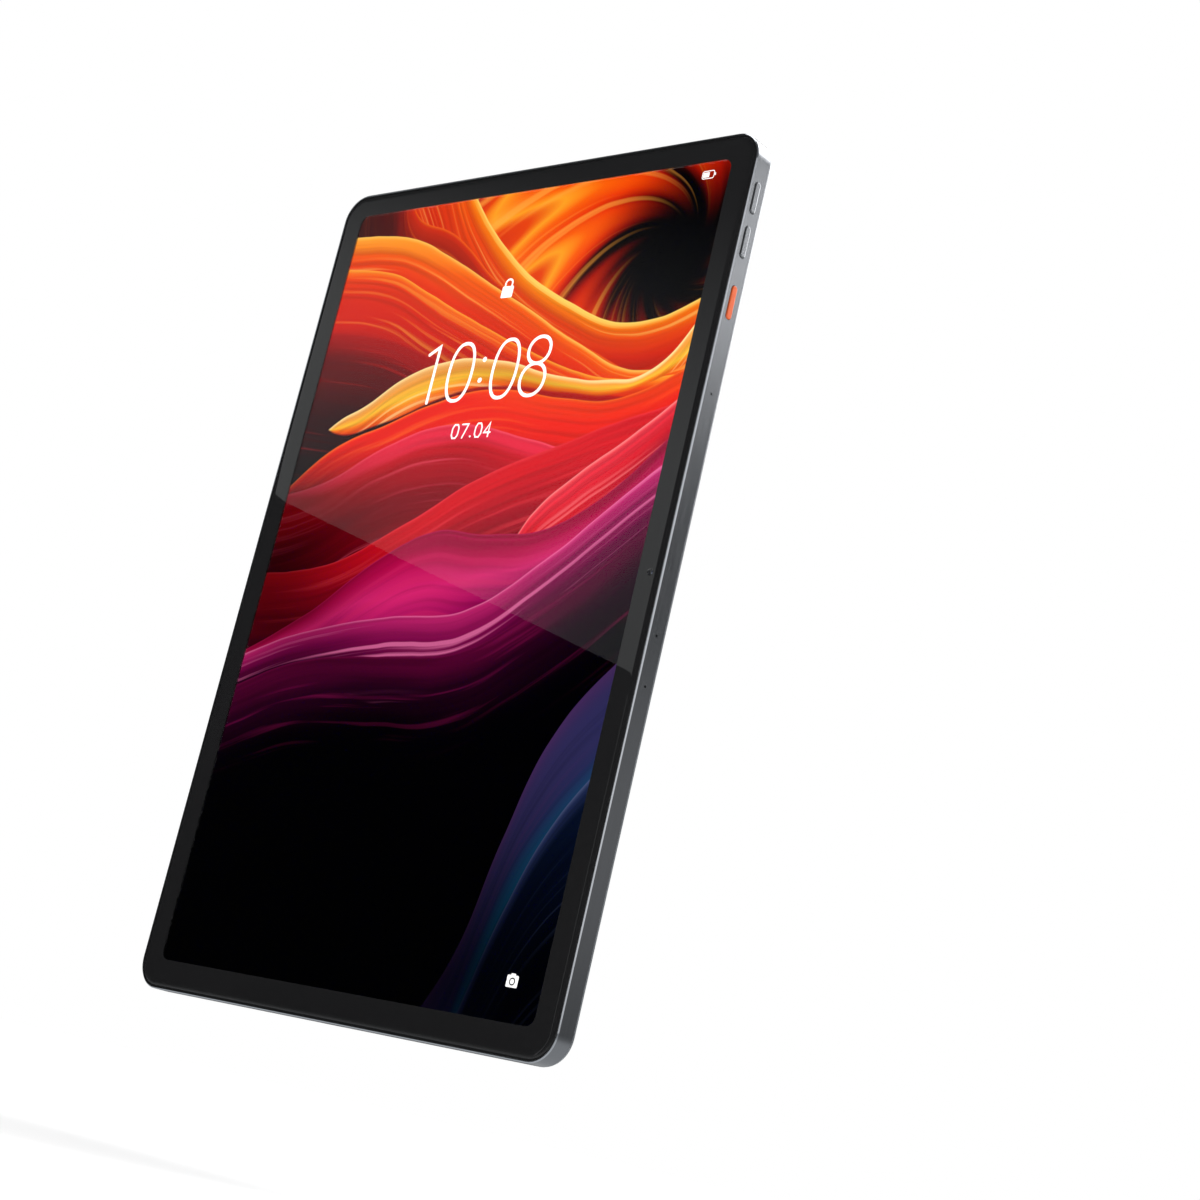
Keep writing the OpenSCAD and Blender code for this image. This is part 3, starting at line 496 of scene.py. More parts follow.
# roughly from the top of the screen down, each drawn over the ones before it
FOLDS = (
    # broad yellow sweep under the hollow
    dict(top=[(0, 1.3), (0.24, 1.1), (0.35, 0.995), (0.5, 0.905), (0.66, 0.845), (0.84, 0.805),
              (1, 0.83)],
         low=[(0, 0.8), (0.4, 0.72), (1, 0.7)],
         stops=[(0.0, 252, 196, 70), (0.1, 240, 138, 12), (0.22, 232, 92, 8), (0.5, 214, 56, 10),
                (0.8, 150, 26, 12), (1.0, 60, 8, 10)],
         edge=(255, 236, 150), rim=0.01, fine=20.0),
    # dark corner, upper left
    dict(top=[(0, 1.3), (0.1, 1.1), (0.16, 1.0), (0.3, 0.955), (0.45, 0.885), (1, 0.7)],
         low=[(0, 0.85), (0.3, 0.8), (1, 0.66)],
         stops=[(0.0, 214, 66, 12), (0.25, 150, 34, 10), (0.5, 96, 16, 10), (1.0, 60, 8, 10)],
         edge=(250, 140, 40), rim=0.006, fine=18.0, streak=0.3),
    # two orange folds from the left edge
    dict(top=[(0, 0.972), (0.18, 0.957), (0.36, 0.905), (0.53, 0.85), (0.72, 0.785), (0.86, 0.745),
              (1, 0.75)],
         low=[(0, 0.83), (0.4, 0.76), (0.72, 0.7), (1, 0.68)],
         stops=[(0.0, 252, 172, 62), (0.12, 242, 116, 14), (0.36, 232, 74, 8), (0.7, 206, 42, 12),
                (1.0, 120, 16, 14)],
         edge=(255, 222, 130), rim=0.007, fine=18.0),
    dict(top=[(0, 0.925), (0.15, 0.908), (0.3, 0.866), (0.45, 0.822), (0.6, 0.78), (0.8, 0.738),
              (1, 0.735)],
         low=[(0, 0.7), (0.3, 0.7), (0.7, 0.68), (1, 0.66)],
         stops=[(0.0, 250, 156, 40), (0.1, 236, 90, 10), (0.34, 214, 44, 12), (0.6, 150, 18, 22),
                (1.0, 54, 6, 18)],
         edge=(252, 196, 90), rim=0.006, fine=20.0),
    # dark red fold, left of the clock
    dict(top=[(0, 0.835), (0.2, 0.812), (0.4, 0.77), (0.6, 0.74), (1, 0.7)],
         low=[(0, 0.62), (0.4, 0.64), (1, 0.6)],
         stops=[(0.0, 184, 26, 24), (0.2, 128, 14, 24), (0.6, 66, 8, 22), (1.0, 30, 3, 16)],
         edge=(206, 44, 34), rim=0.005, fine=22.0, coarse=1.2),
    # bright band behind the clock
    dict(top=[(0, 0.655), (0.085, 0.703), (0.17, 0.726), (0.25, 0.757), (0.36, 0.777), (0.52, 0.772),
              (0.68, 0.746), (0.8, 0.735), (0.92, 0.743), (1, 0.8)],
         low=[(0, 0.74), (0.085, 0.69), (0.24, 0.7), (0.4, 0.728), (0.55, 0.734), (0.7, 0.722),
              (0.85, 0.714), (1, 0.745)],
         stops=[(0.0, 252, 204, 140), (0.3, 246, 176, 84), (0.55, 252, 204, 76), (0.75, 242, 138, 24),
                (1.0, 226, 72, 16)],
         edge=(255, 244, 190), rim=0.007, fine=16.0, coarse=0.8, streak=0.6, hair=0.2),
    # red folds under the clock
    dict(top=[(0, 0.62), (0.09, 0.664), (0.24, 0.698), (0.4, 0.726), (0.55, 0.732), (0.7, 0.718),
              (0.85, 0.71), (1, 0.741)],
         low=[(0, 0.6), (0.2, 0.54), (0.5, 0.48), (1, 0.48)],
         stops=[(0.0, 244, 96, 22), (0.1, 238, 54, 30), (0.35, 222, 30, 38), (0.7, 164, 16, 44),
                (1.0, 66, 6, 32)],
         edge=(255, 150, 60), rim=0.005, fine=16.0, coarse=1.3, streak=0.42),
    dict(top=[(0, 0.608), (0.12, 0.626), (0.26, 0.668), (0.42, 0.69), (0.62, 0.672), (1, 0.6)],
         low=[(0, 0.44), (0.3, 0.44), (0.6, 0.42), (1, 0.44)],
         stops=[(0.0, 232, 62, 92), (0.08, 206, 30, 52), (0.35, 176, 20, 46), (0.7, 92, 8, 36),
                (1.0, 34, 3, 22)],
         edge=(246, 120, 140), rim=0.005, fine=18.0, coarse=1.5),
    dict(top=[(0, 0.5), (0.2, 0.515), (0.38, 0.565), (0.55, 0.62), (0.72, 0.655), (1, 0.7)],
         low=[(0, 0.36), (0.3, 0.38), (0.6, 0.4), (1, 0.5)],
         stops=[(0.0, 222, 38, 54), (0.3, 176, 20, 52), (0.6, 100, 10, 40), (1.0, 30, 3, 22)],
         edge=(240, 90, 100), rim=0.004, fine=18.0, coarse=1.5),
    # pointed pink fold, middle right
    dict(top=[(0, 0.3), (0.62, 0.49), (0.668, 0.532), (0.71, 0.575), (0.8, 0.62), (0.9, 0.66),
              (1, 0.705)],
         low=[(0, 0.56), (0.66, 0.527), (0.76, 0.522), (0.88, 0.575), (1, 0.655)],
         stops=[(0.0, 246, 120, 120), (0.2, 238, 72, 92), (0.55, 222, 40, 62), (1.0, 176, 20, 60)],
         edge=(255, 176, 176), rim=0.006, fine=16.0),
    # two magenta folds
    dict(top=[(0, 0.398), (0.15, 0.445), (0.32, 0.515), (0.46, 0.552), (0.6, 0.548), (0.78, 0.56),
              (1, 0.66)],
         low=[(0, 0.37), (0.2, 0.4), (0.5, 0.42), (0.75, 0.48), (1, 0.57)],
         stops=[(0.0, 150, 16, 66), (0.22, 190, 28, 98), (0.5, 216, 60, 132), (0.8, 170, 30, 110),
                (1.0, 110, 14, 76)],
         edge=(214, 60, 122), rim=0.004, fine=16.0, coarse=1.1, streak=0.45),
    dict(top=[(0, 0.392), (0.18, 0.425), (0.4, 0.446), (0.6, 0.456), (0.78, 0.522), (0.9, 0.582),
              (1, 0.628)],
         low=[(0, 0.33), (0.2, 0.355), (0.45, 0.335), (0.65, 0.36), (0.8, 0.42), (1, 0.5)],
         stops=[(0.0, 240, 130, 176), (0.12, 200, 60, 130), (0.35, 136, 24, 92), (0.65, 64, 8, 48),
                (1.0, 20, 2, 20)],
         edge=(244, 150, 192), rim=0.004, fine=14.0, coarse=0.9, hair=0.26),
    # rays that fade into the dark
    dict(top=[(0, 0.352), (0.2, 0.388), (0.4, 0.396), (0.6, 0.402), (0.8, 0.466), (1, 0.56)],
         low=[(0, 0.2), (0.25, 0.25), (0.42, 0.268), (0.6, 0.26), (0.8, 0.3), (1, 0.38)],
         stops=[(0.0, 104, 16, 68), (0.3, 60, 8, 46), (0.7, 20, 3, 22), (1.0, 0, 0, 5)],
         edge=(150, 40, 100), rim=0.004, fine=14.0, coarse=2.0, streak=0.45, hair=0.2,
         soft_low=0.1, rim_power=0.5),
    # two blue folds, lower right
    dict(top=[(0, -0.6), (0.55, -0.2), (0.7, -0.03), (0.78, 0.07), (0.825, 0.19), (0.88, 0.3),
              (1, 0.4)],
         low=[(0, -1.0), (0.5, -1.0), (1, -0.6)],
         stops=[(0.0, 84, 62, 106), (0.1, 60, 70, 112), (0.2, 40, 104, 136), (0.32, 20, 40, 68),
                (0.6, 10, 20, 38), (1.0, 3, 6, 16)],
         edge=(92, 66, 112), rim=0.03, fine=9.0, coarse=0.8, streak=0.22, hair=0.2),
    dict(top=[(0, -0.8), (0.66, -0.25), (0.8, -0.03), (0.87, 0.12), (0.93, 0.21), (1, 0.27)],
         low=[(0, -1.2), (0.5, -1.2), (1, -0.8)],
         stops=[(0.0, 70, 82, 124), (0.06, 26, 42, 70), (0.2, 12, 26, 46), (0.6, 4, 10, 22),
                (1.0, 2, 4, 12)],
         edge=(116, 126, 160), rim=0.01, fine=12.0, coarse=0.8, streak=0.25, hair=0.2),
)


def screen_picture():
    p = Picture("screen_picture")
    black = tone(0, 0, 5)
    picture = p.blend(p.remap(p.level, 0.62, 0.72), black, whirl(p, black))
    for fold in FOLDS:
        picture = p.fold(picture, **fold)
    # the left edge falls into shade half way up, and every fold is deepened
    left = p.remap(p.across, 0.0, 0.42, 0.34, 1.0, smooth=True)
    height = p.times(p.remap(p.level, 0.36, 0.44), p.remap(p.level, 0.60, 0.68, 1.0, 0.0))
    shade = p.plus(p.times(p.minus(left, 1.0), height), 1.0)
    shade = p.times(shade, p.remap(p.level, 0.02, 0.34, 0.14, 1.0, smooth=True))
    picture = p.blend(1.0, picture, p.vector(shade, shade, shade), "MULTIPLY")
    picture = p.add("Gamma", {"Color": picture, "Gamma": 1.35}).outputs[0]
    p.principled(Base_Color=black, Emission_Color=picture, Emission_Strength=1.15,
                 Roughness=0.4, Specular_IOR_Level=0.0)
    return p.material


# ---------------------------------------------------------------- give every node its material

# painted light: the ribs take a lighter copy of the rear cover's satin, as their lit tops, against the
# painted shade of the band's floor
LIT_RIB_FINISH = satin_cover("rib_satin_painted_light", tone(150, 153, 157), 0.34, 0.000008, 0.0)
WINDOW_GLASS = clear_glass("window_glass", WHITE, 1.2, 0.003)
RIM_BLACK = glass_print("rim_black", tone(34, 34, 35))
BORDER_BLACK = gloss_black("border_black", tone(16, 16, 17), 0.3, 0.0)
SEAL_BLACK = plain_surface("seal_black", tone(20, 20, 21), 0.5, tint=0.15, grain=4000.0)
FILM = clear_glass("bond_film", WHITE, 1.01, 0.0)
BLACK_PLASTIC = plain_surface("black_plastic", tone(26, 26, 28), 0.45, tint=0.12)
STEEL = brushed_metal("steel", tone(184, 186, 190), 0.26, "x")
DOME_COAT = anodised_key("dome_coat", tone(150, 160, 186), 0.9, 0.16)
LENS_DARK = glass_print("lens_dark", tone(8, 8, 10))

FINISH_GROUPS = (
    (clear_glass("front_glass", WHITE, 1.5, 0.003), "cover_glass"),
    (SEAL_BLACK, "glass_seal"),
    (plain_surface("tape_black", tone(22, 22, 23), 0.7, tint=0.2, grain=1200.0),
     "perimeter_tape battery_tape"),
    (BORDER_BLACK, "border_print"),
    (FILM, "bonding_sheet"),
    (screen_picture(), "display_panel"),
    (plain_surface("white_film", tone(226, 228, 230), 0.5, tint=0.03), "film_stack"),
    (plain_surface("light_guide", tone(214, 222, 228), 0.2, tint=0.02, coat=0.6), "light_guide"),
    # the LED bar glows as the lit backlight; the flash LED's glow is painted glow, as the flash is not firing
    (glowing("led_phosphor", tone(240, 222, 160), 0.25, 2600.0), "led_bar flash_led"),
    (STEEL, "backlight_pan key_domes key_brackets shield_cans port_shell microphones"),
    (STEEL, "card_socket board_screws"),
    (plain_surface("cast_plate", tone(150, 152, 154), 0.42, 0.9, grain=1600.0), "mid_plate"),
    (anodised_frame(), "side_frame"),
    (satin_cover("cover_satin", tone(116, 119, 123), 0.36), "rear_cover"),
    (anodised_key("key_grey", tone(154, 156, 160), 1.0, 0.25),
     "volume_up_key volume_down_key power_key tray_cap"),
    (anodised_key("key_orange", tone(236, 104, 52), 0.2, 0.36), "smart_key"),
    (plain_surface("flex_amber", tone(120, 66, 24), 0.35, tint=0.12, coat=0.4),
     "key_strips rear_camera_flex battery_flex display_flex link_flex"),
    (brushed_metal("island_rim", tone(206, 209, 214), 0.16, "z"), "island_bezel"),
    (gloss_black("island_gloss", tone(70, 73, 77), 0.12, 1.0), "island_panel"),
    (brushed_metal("lens_ring_grey", tone(104, 107, 111), 0.3, "y"), "lens_ring"),
    (gloss_black("lens_black", tone(9, 9, 11), 0.1, 1.0), "lens_bevel"),
    (clear_glass("lens_glass", (0.96, 0.97, 1.0, 1.0), 1.5, 0.006), "lens_window"),
    (LENS_DARK, "lens_mask"),
    (glass_print("coated_lens", tone(20, 24, 46)), "barrel_lens front_camera_lens"),
    (BLACK_PLASTIC, "lens_barrel rear_camera_housing front_camera board_plugs port_tongue speaker_modules"),
    (BLACK_PLASTIC, "antenna_carriers tray_carrier"),
    (circuit_board("board", tone(18, 46, 34)),
     "rear_camera_board flash_board battery_board main_board sub_board"),
    (brushed_metal("flash_trim_bright", tone(232, 234, 238), 0.34, "y"), "flash_trim"),
    (gloss_black("flash_disc_grey", tone(104, 107, 111), 0.22, 0.6), "flash_disc"),
    # painted glow: the unlit flash diffuser glows faintly
    (glowing("flash_diffuser_painted_glow", tone(238, 226, 188), 0.10, 1500.0), "flash_lens"),
    (foil_wrap("cell_foil", tone(120, 122, 126)), "battery_cell_left battery_cell_right"),
    (plain_surface("mesh_steel", tone(60, 61, 64), 0.4, 0.9, grain=5200.0, depth=0.00005),
     "speaker_meshes"),
    (plain_surface("seal_red", tone(150, 34, 30), 0.55, tint=0.1), "tray_seal"),
)
FINISH = {name: finish for finish, names in FINISH_GROUPS for name in names.split()}

for name, node in NODES.items():
    finish = FINISH.get(name)
    if finish is None:
        raise SystemExit("no finish for " + name)
    if not node.material_slots:
        node.data.materials.append(finish)
    for held in node.material_slots:
        held.material = finish

# ---------------------------------------------------------------- mesh helpers

# depths of the marks drawn on the screen; one that crosses another stands a hair in front
MARK_FRONT, MARK_BACK = -6.545 * MM, -6.515 * MM
MARK_OVER = MARK_FRONT - 0.002 * MM
# turns at which the round end of a pen stroke gets a station
END_ANGLES = (0.45, 0.85, 1.2, 1.5)


def placed(name, bm, material):
    """Makes an object from a finished mesh and frees the working copy."""
    mesh = bpy.data.meshes.new(name)
    bm.to_mesh(mesh)
    bm.free()
    mesh.materials.append(material)
    made = bpy.data.objects.new(name, mesh)
    bpy.context.collection.objects.link(made)
    return made


def new_piece(name, bm, material, smooth=True):
    """A visible piece that moves with the tablet's body."""
    bmesh.ops.recalc_face_normals(bm, faces=bm.faces)
    piece = placed(name, bm, material)
    if smooth:
        piece.data.shade_smooth()
        piece.data.set_sharp_from_angle(angle=math.radians(35))
    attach(piece, "chassis")
    return piece


def stacked(line, levels):
    """The same outline of (x, z) points at several depths."""
    return [[(x, y, z) for x, z in line] for y in levels]


def rounded_outline(width, height, radius, steps=10, centre=(0.0, 0.0)):
    """Points of a rounded rectangle in the x z plane, anticlockwise from the front."""
    points = []
    for turn, (sx, sz) in enumerate(((1, 1), (-1, 1), (-1, -1), (1, -1))):
        for step in range(steps + 1):
            angle = math.pi / 2 * (turn + step / steps)
            points.append((centre[0] + sx * (width / 2 - radius) + radius * math.cos(angle),
                           centre[1] + sz * (height / 2 - radius) + radius * math.sin(angle)))
    return points


def loft(bm, rings, close_ends=(True, True), closed_ring=True, closed_stack=False):
    """Skins a stack of rings of (x, y, z) points. A closed stack joins its last ring to its first."""
    rows = [[bm.verts.new(point) for point in ring] for ring in rings]
    if closed_stack:
        rows.append(rows[0])
    count = len(rows[0])
    last = count if closed_ring else count - 1
    for a, b in zip(rows, rows[1:]):
        for i in range(last):
            j = (i + 1) % count
            bm.faces.new((a[i], a[j], b[j], b[i]))
    if close_ends[0]:
        bm.faces.new(rows[0])
    if close_ends[1]:
        bm.faces.new(rows[-1])


def stroke(bm, path, width, front=MARK_FRONT, back=MARK_BACK, closed=False):
    """A flat pen stroke of even width along a path of (x, z), with round ends."""
    points = [Vector(place) for place in path]
    count = len(points)
    stations = []
    for i, point in enumerate(points):
        before = points[(i - 1) % count] if closed or i else point
        after = points[(i + 1) % count] if closed or i < count - 1 else point
        one, two = (point - before), (after - point)
        one = one.normalized() if one.length > 0 else two.normalized()
        two = two.normalized() if two.length > 0 else one
        way = (one + two).normalized()
        widen = min(1.0 / max(way.dot(one), 0.3), 2.0)
        side = Vector((-way.y, way.x)) * width / 2 * widen
        stations.append((point, side))
    if not closed:
        for index, sign in ((0, -1.0), (-1, 1.0)):
            point, side = stations[index]
            way = Vector((side.y, -side.x)).normalized() * sign * width / 2
            ends = [(point + way * math.sin(a), side * math.cos(a)) for a in END_ANGLES]
            stations = stations + ends if sign > 0 else ends[::-1] + stations
    rings = []
    for point, side in stations:
        left, right = point + side, point - side
        rings.append([(left.x, front, left.y), (right.x, front, right.y),
                      (right.x, back, right.y), (left.x, back, left.y)])
    loft(bm, rings, (not closed, not closed), closed_stack=closed)


def fill(bm, line, front=MARK_FRONT):
    """A flat solid from one outline of (x, z) points."""
    loft(bm, stacked(line, (front, MARK_BACK)))


def oval(centre, half_w, half_h, steps, power=2.0):
    """Points of an ellipse, which gets squarer as its power grows."""
    points = []
    for k in range(steps):
        angle = 2 * math.pi * k / steps
        c, s = math.cos(angle), math.sin(angle)
        x = math.copysign(abs(c) ** (2.0 / power), c) * half_w
        z = math.copysign(abs(s) ** (2.0 / power), s) * half_h
        points.append((centre[0] + x, centre[1] + z))
    return points


# ---------------------------------------------------------------- behind the glass

FILM_FRONT, FILM_BACK = -6.635 * MM, -6.585 * MM
FILM_SIZE = (152.4 * MM, 241.6 * MM)
FILM_RADIUS = 2.0 * MM
FILM_SWELL, FILM_SOFT = 0.03 * MM, 0.012 * MM
PRINT_FRONT, PRINT_BACK = -6.690 * MM, -6.655 * MM
WINDOW_SIZE = (149.4 * MM, 239.0 * MM)
WINDOW_CENTRE = (0.0, 0.5 * MM)
WINDOW_RADIUS = 3.0 * MM
CAMERA_EYE = (78.9 * MM, 0.5 * MM)


def window_outline():
    return rounded_outline(*WINDOW_SIZE, WINDOW_RADIUS, 12, WINDOW_CENTRE)


def holed_face(bm, outlines, y):
    """A flat face whose first outline is its edge and whose others are holes."""
    edges = []
    for line in outlines:
        verts = [bm.verts.new((x, y, z)) for x, z in line]
        edges += [bm.edges.new((verts[i], verts[(i + 1) % len(verts)])) for i in range(len(verts))]
    bmesh.ops.triangle_fill(bm, use_beauty=True, use_dissolve=False, edges=edges)


def walls(bm, lines, front, back):
    """Upright sides of several outlines, then everything welded."""
    for line in lines:
        loft(bm, stacked(line, (front, back)), (False, False))
    bmesh.ops.remove_doubles(bm, verts=bm.verts, dist=0.000001)


def make_border():
    lowest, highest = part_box("border_print")
    outer = rounded_outline(highest[0] - lowest[0], highest[2] - lowest[2], 7.4 * MM, 12)
    outlines = [outer, window_outline(), oval(CAMERA_EYE, 1.5 * MM, 1.5 * MM, 40)]
    bm = bmesh.new()
    for y in (PRINT_FRONT, PRINT_BACK):
        holed_face(bm, outlines, y)
    walls(bm, outlines, PRINT_FRONT, PRINT_BACK)
    piece = new_piece("printed_border", bm, BORDER_BLACK, smooth=False)
    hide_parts("border_print")


GLASS_EDGE = 1.7 * MM
GLASS_FALL = 0.30 * MM
GLASS_RADIUS = 7.5 * MM
GLASS_STEPS = 12
EYE_OUTLINE = oval(CAMERA_EYE, 1.0 * MM, 1.0 * MM, 40)


def glass_rim(lowest, highest):
    """Printed edge of the glass: it curves down over its last 1.7 mm."""
    wide, tall = highest[0] - lowest[0], highest[2] - lowest[2]
    front, back = lowest[1], highest[1]
    stack = [(0.25 * MM, back), (0.06 * MM, back - 0.02 * MM), (0.0, back - 0.08 * MM),
             (0.0, front + GLASS_FALL)]
    for k in range(1, GLASS_STEPS + 1):
        angle = math.pi / 2 * k / GLASS_STEPS
        stack.append((GLASS_EDGE * (1.0 - math.cos(angle)), front + GLASS_FALL * (1.0 - math.sin(angle))))
    outlines = [rounded_outline(wide - 2 * inset, tall - 2 * inset, GLASS_RADIUS - inset, 14)
                for inset, _ in stack]
    bm = bmesh.new()
    loft(bm, [[(x, y, z) for x, z in line] for line, (_, y) in zip(outlines, stack)], (False, False))
    holes = [window_outline(), EYE_OUTLINE]
    holed_face(bm, [outlines[-1]] + holes, front)
    holed_face(bm, [outlines[0]] + holes, back)
    walls(bm, holes, front, back)
    return bm


# the gap round a pane is also the depth of its softened edge; its flat faces are inset a little more
PANE_GAP = 0.01 * MM
PANE_INSET = 0.03 * MM


def pane(name, line, front, back):
    """A thin clear plate with a softened edge inside the given outline."""
    bm = bmesh.new()
    middle = (sum(x for x, _ in line) / len(line), sum(z for _, z in line) / len(line))
    rings = []
    for shrink, y in ((PANE_INSET, back), (PANE_GAP, back - PANE_GAP),
                      (PANE_GAP, front + PANE_GAP), (PANE_INSET, front)):
        ring = []
        for x, z in line:
            way = Vector((middle[0] - x, middle[1] - z)).normalized() * shrink
            ring.append((x + way.x, y, z + way.y))
        rings.append(ring)
    loft(bm, rings)
    new_piece(name, bm, WINDOW_GLASS, smooth=False)


def make_front_glass():
    lowest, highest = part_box("cover_glass")
    front, back = lowest[1], highest[1]
    rim = new_piece("glass_rim", glass_rim(lowest, highest), RIM_BLACK)
    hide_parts("cover_glass")
    pane("glass_window", window_outline(), front, back)
    pane("glass_eye", EYE_OUTLINE, front, back)


def circle(centre, radius, steps):
    """Points of a circle, for rings of a turned piece or the floor."""
    angles = [2 * math.pi * k / steps for k in range(steps)]
    return [(centre[0] + radius * math.cos(angle), centre[1] + radius * math.sin(angle)) for angle in angles]


def turned(name, centre, profile, material, close_ends=(True, True), steps=64):
    """A piece turned round an axis along Y, from (radius, y) stations."""
    bm = bmesh.new()
    rings = [[(x, y, z) for x, z in circle(centre, radius, steps)] for radius, y in profile]
    loft(bm, rings, close_ends)
    return new_piece(name, bm, material)


DOME_TIP = 0.02 * MM


def dome_profile(radius, base, rise, steps):
    """Stations of a shallow dome with a tiny flat tip."""
    profile = []
    for k in range(steps):
        tilt = math.pi / 2 * k / steps
        profile.append((radius * math.cos(tilt), base + rise * math.sin(tilt)))
    return profile + [(DOME_TIP, base + rise)]


FRONT_CAMERA_Y = -6.69 * MM

# rings of the cone, from the rim inwards: radius and depth, in millimetres
FRONT_CAMERA_CONE = (
    (1.42, 0.02), (1.20, 0.03), (1.12, 0.10), (0.78, 0.22),
    (0.74, 0.18), (0.62, 0.17), (0.58, 0.34), (0.40, 0.40),
)


def make_front_camera():
    """Black cone and coated dome of the small camera behind its clear spot."""
    cone = [(radius * MM, FRONT_CAMERA_Y + depth * MM) for radius, depth in FRONT_CAMERA_CONE]
    turned("front_camera_cone", CAMERA_EYE, cone, SEAL_BLACK, (False, True), 40)
    dome = dome_profile(0.36 * MM, FRONT_CAMERA_Y + 0.31 * MM, -0.16 * MM, 8)
    turned("front_camera_dome", CAMERA_EYE, dome, DOME_COAT, steps=32)


REAR_LENS = (56.0 * MM, 107.0 * MM)

# steps of the mouth, from its rim inwards: radius and how far below the face, in millimetres
REAR_LENS_STEPS = (
    (3.30, 0.0), (3.22, 0.03), (3.08, 0.03), (3.00, 0.0), (1.95, 0.0), (1.86, 0.05),
    (1.70, 0.05), (1.60, 0.01), (1.34, 0.02), (1.16, 0.18), (0.60, 0.22),
)


def make_rear_lens():
    """Dark window of the rear camera, with the stepped mouth and coated front lens in its middle."""
    lowest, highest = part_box("lens_window")
    wide, face, back = (highest[0] - lowest[0]) / 2.0, highest[1], lowest[1]
    profile = [(wide, back), (wide, face - 0.03 * MM), (wide - 0.05 * MM, face)]
    profile += [(radius * MM, face - sunk * MM) for radius, sunk in REAR_LENS_STEPS]
    window = turned("rear_lens_window", REAR_LENS, profile, LENS_DARK)
    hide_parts("lens_window")
    dome = dome_profile(0.98 * MM, face - 0.21 * MM, 0.15 * MM, 9)
    turned("rear_lens_dome", REAR_LENS, dome, DOME_COAT, steps=48)


def make_film():
    """Clear bond between the display and the glass, with softened edges."""
    bm = bmesh.new()
    rings = []
    for grow, y in ((0.0, FILM_BACK), (FILM_SWELL, FILM_BACK - FILM_SOFT),
                    (FILM_SWELL, FILM_FRONT + FILM_SOFT), (0.0, FILM_FRONT)):
        line = rounded_outline(FILM_SIZE[0] + grow, FILM_SIZE[1] + grow, FILM_RADIUS, 8)
        rings.append([(x, y, z) for x, z in line])
    loft(bm, rings)
    piece = new_piece("optical_bond", bm, FILM, smooth=False)
    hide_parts("bonding_sheet")


make_border()
make_front_glass()
make_front_camera()
make_rear_lens()
make_film()

DIGIT_PEN = 1.08 * MM


def clock_digits():
    """Thin figures of a clock: one, zero, colon, zero, eight."""
    bm = bmesh.new()
    base, tall = 53.6 * MM, 18.2 * MM
    middle = base + tall / 2
    stem = -23.3 * MM
    stroke(bm, [(stem - 3.9 * MM, base + tall * 0.86), (stem, base + tall * 0.985), (stem, base)], DIGIT_PEN)
    for centre in (-12.1 * MM, 6.0 * MM):
        stroke(bm, oval((centre, middle), 4.75 * MM, tall / 2, 56, 2.35), DIGIT_PEN, closed=True)
    for up in (0.19, -0.17):
        fill(bm, oval((-3.2 * MM, middle + tall * up), 0.82 * MM, 0.82 * MM, 20))
    low, high = tall * 0.272, tall * 0.228
    stroke(bm, oval((18.0 * MM, base + low), 4.75 * MM, low, 48, 2.1), DIGIT_PEN, closed=True)
    stroke(bm, oval((18.2 * MM, base + 2 * low + high), 4.2 * MM, high, 48, 2.1), DIGIT_PEN, MARK_OVER,
           closed=True)
    new_piece("screen_clock", bm, ICON, smooth=False)


# pen paths of the date's figures, in parts of their width and height
FIGURES = {
    "0": [(0, 0.25), (0, 0.75), (0.25, 1), (0.75, 1), (1, 0.75), (1, 0.25), (0.75, 0), (0.25, 0), (0, 0.25)],
    "4": [(0.74, 0), (0.74, 1), (0, 0.3), (1, 0.3)],
    "7": [(0, 1), (1, 1), (0.35, 0)],
}


def small_date():
    """A short date in figures only."""
    bm = bmesh.new()
    at, base, wide, tall, pen = -9.2 * MM, 41.7 * MM, 2.5 * MM, 4.2 * MM, 0.5 * MM
    for mark in "07.04":
        if mark == ".":
            fill(bm, oval((at + 0.4 * MM, base + 0.3 * MM), 0.34 * MM, 0.34 * MM, 14))
            at += 2.0 * MM
            continue
        path = [(at + x * wide, base + z * tall) for x, z in FIGURES[mark]]
        closed = path[0] == path[-1]
        stroke(bm, path[:-1] if closed else path, pen, closed=closed)
        at += 3.7 * MM
    new_piece("screen_date", bm, ICON, smooth=False)


def plate(bm, centre, wide, tall, radius, steps, front=MARK_FRONT):
    """A filled rounded rectangle, its sizes in millimetres."""
    fill(bm, rounded_outline(wide * MM, tall * MM, radius * MM, steps, centre), front)


def padlock(bm, x, z):
    plate(bm, (x, z), 4.5, 3.7, 0.4, 4)
    radius, foot, crown = 1.35 * MM, z + 1.6 * MM, z + 2.7 * MM
    arch = [(x - radius, foot)]
    for k in range(13):
        angle = math.pi * k / 12
        arch.append((x - radius * math.cos(angle), crown + radius * math.sin(angle)))
    arch.append((x + radius, foot))
    stroke(bm, arch, 0.6 * MM, MARK_OVER)


def battery_mark(bm, x, z):
    stroke(bm, rounded_outline(4.1 * MM, 2.3 * MM, 0.6 * MM, 5, (x, z)), 0.26 * MM, closed=True)
    plate(bm, (x - 0.7 * MM, z), 2.1, 1.5, 0.2, 3)
    plate(bm, (x + 2.45 * MM, z), 0.34, 0.8, 0.15, 3)


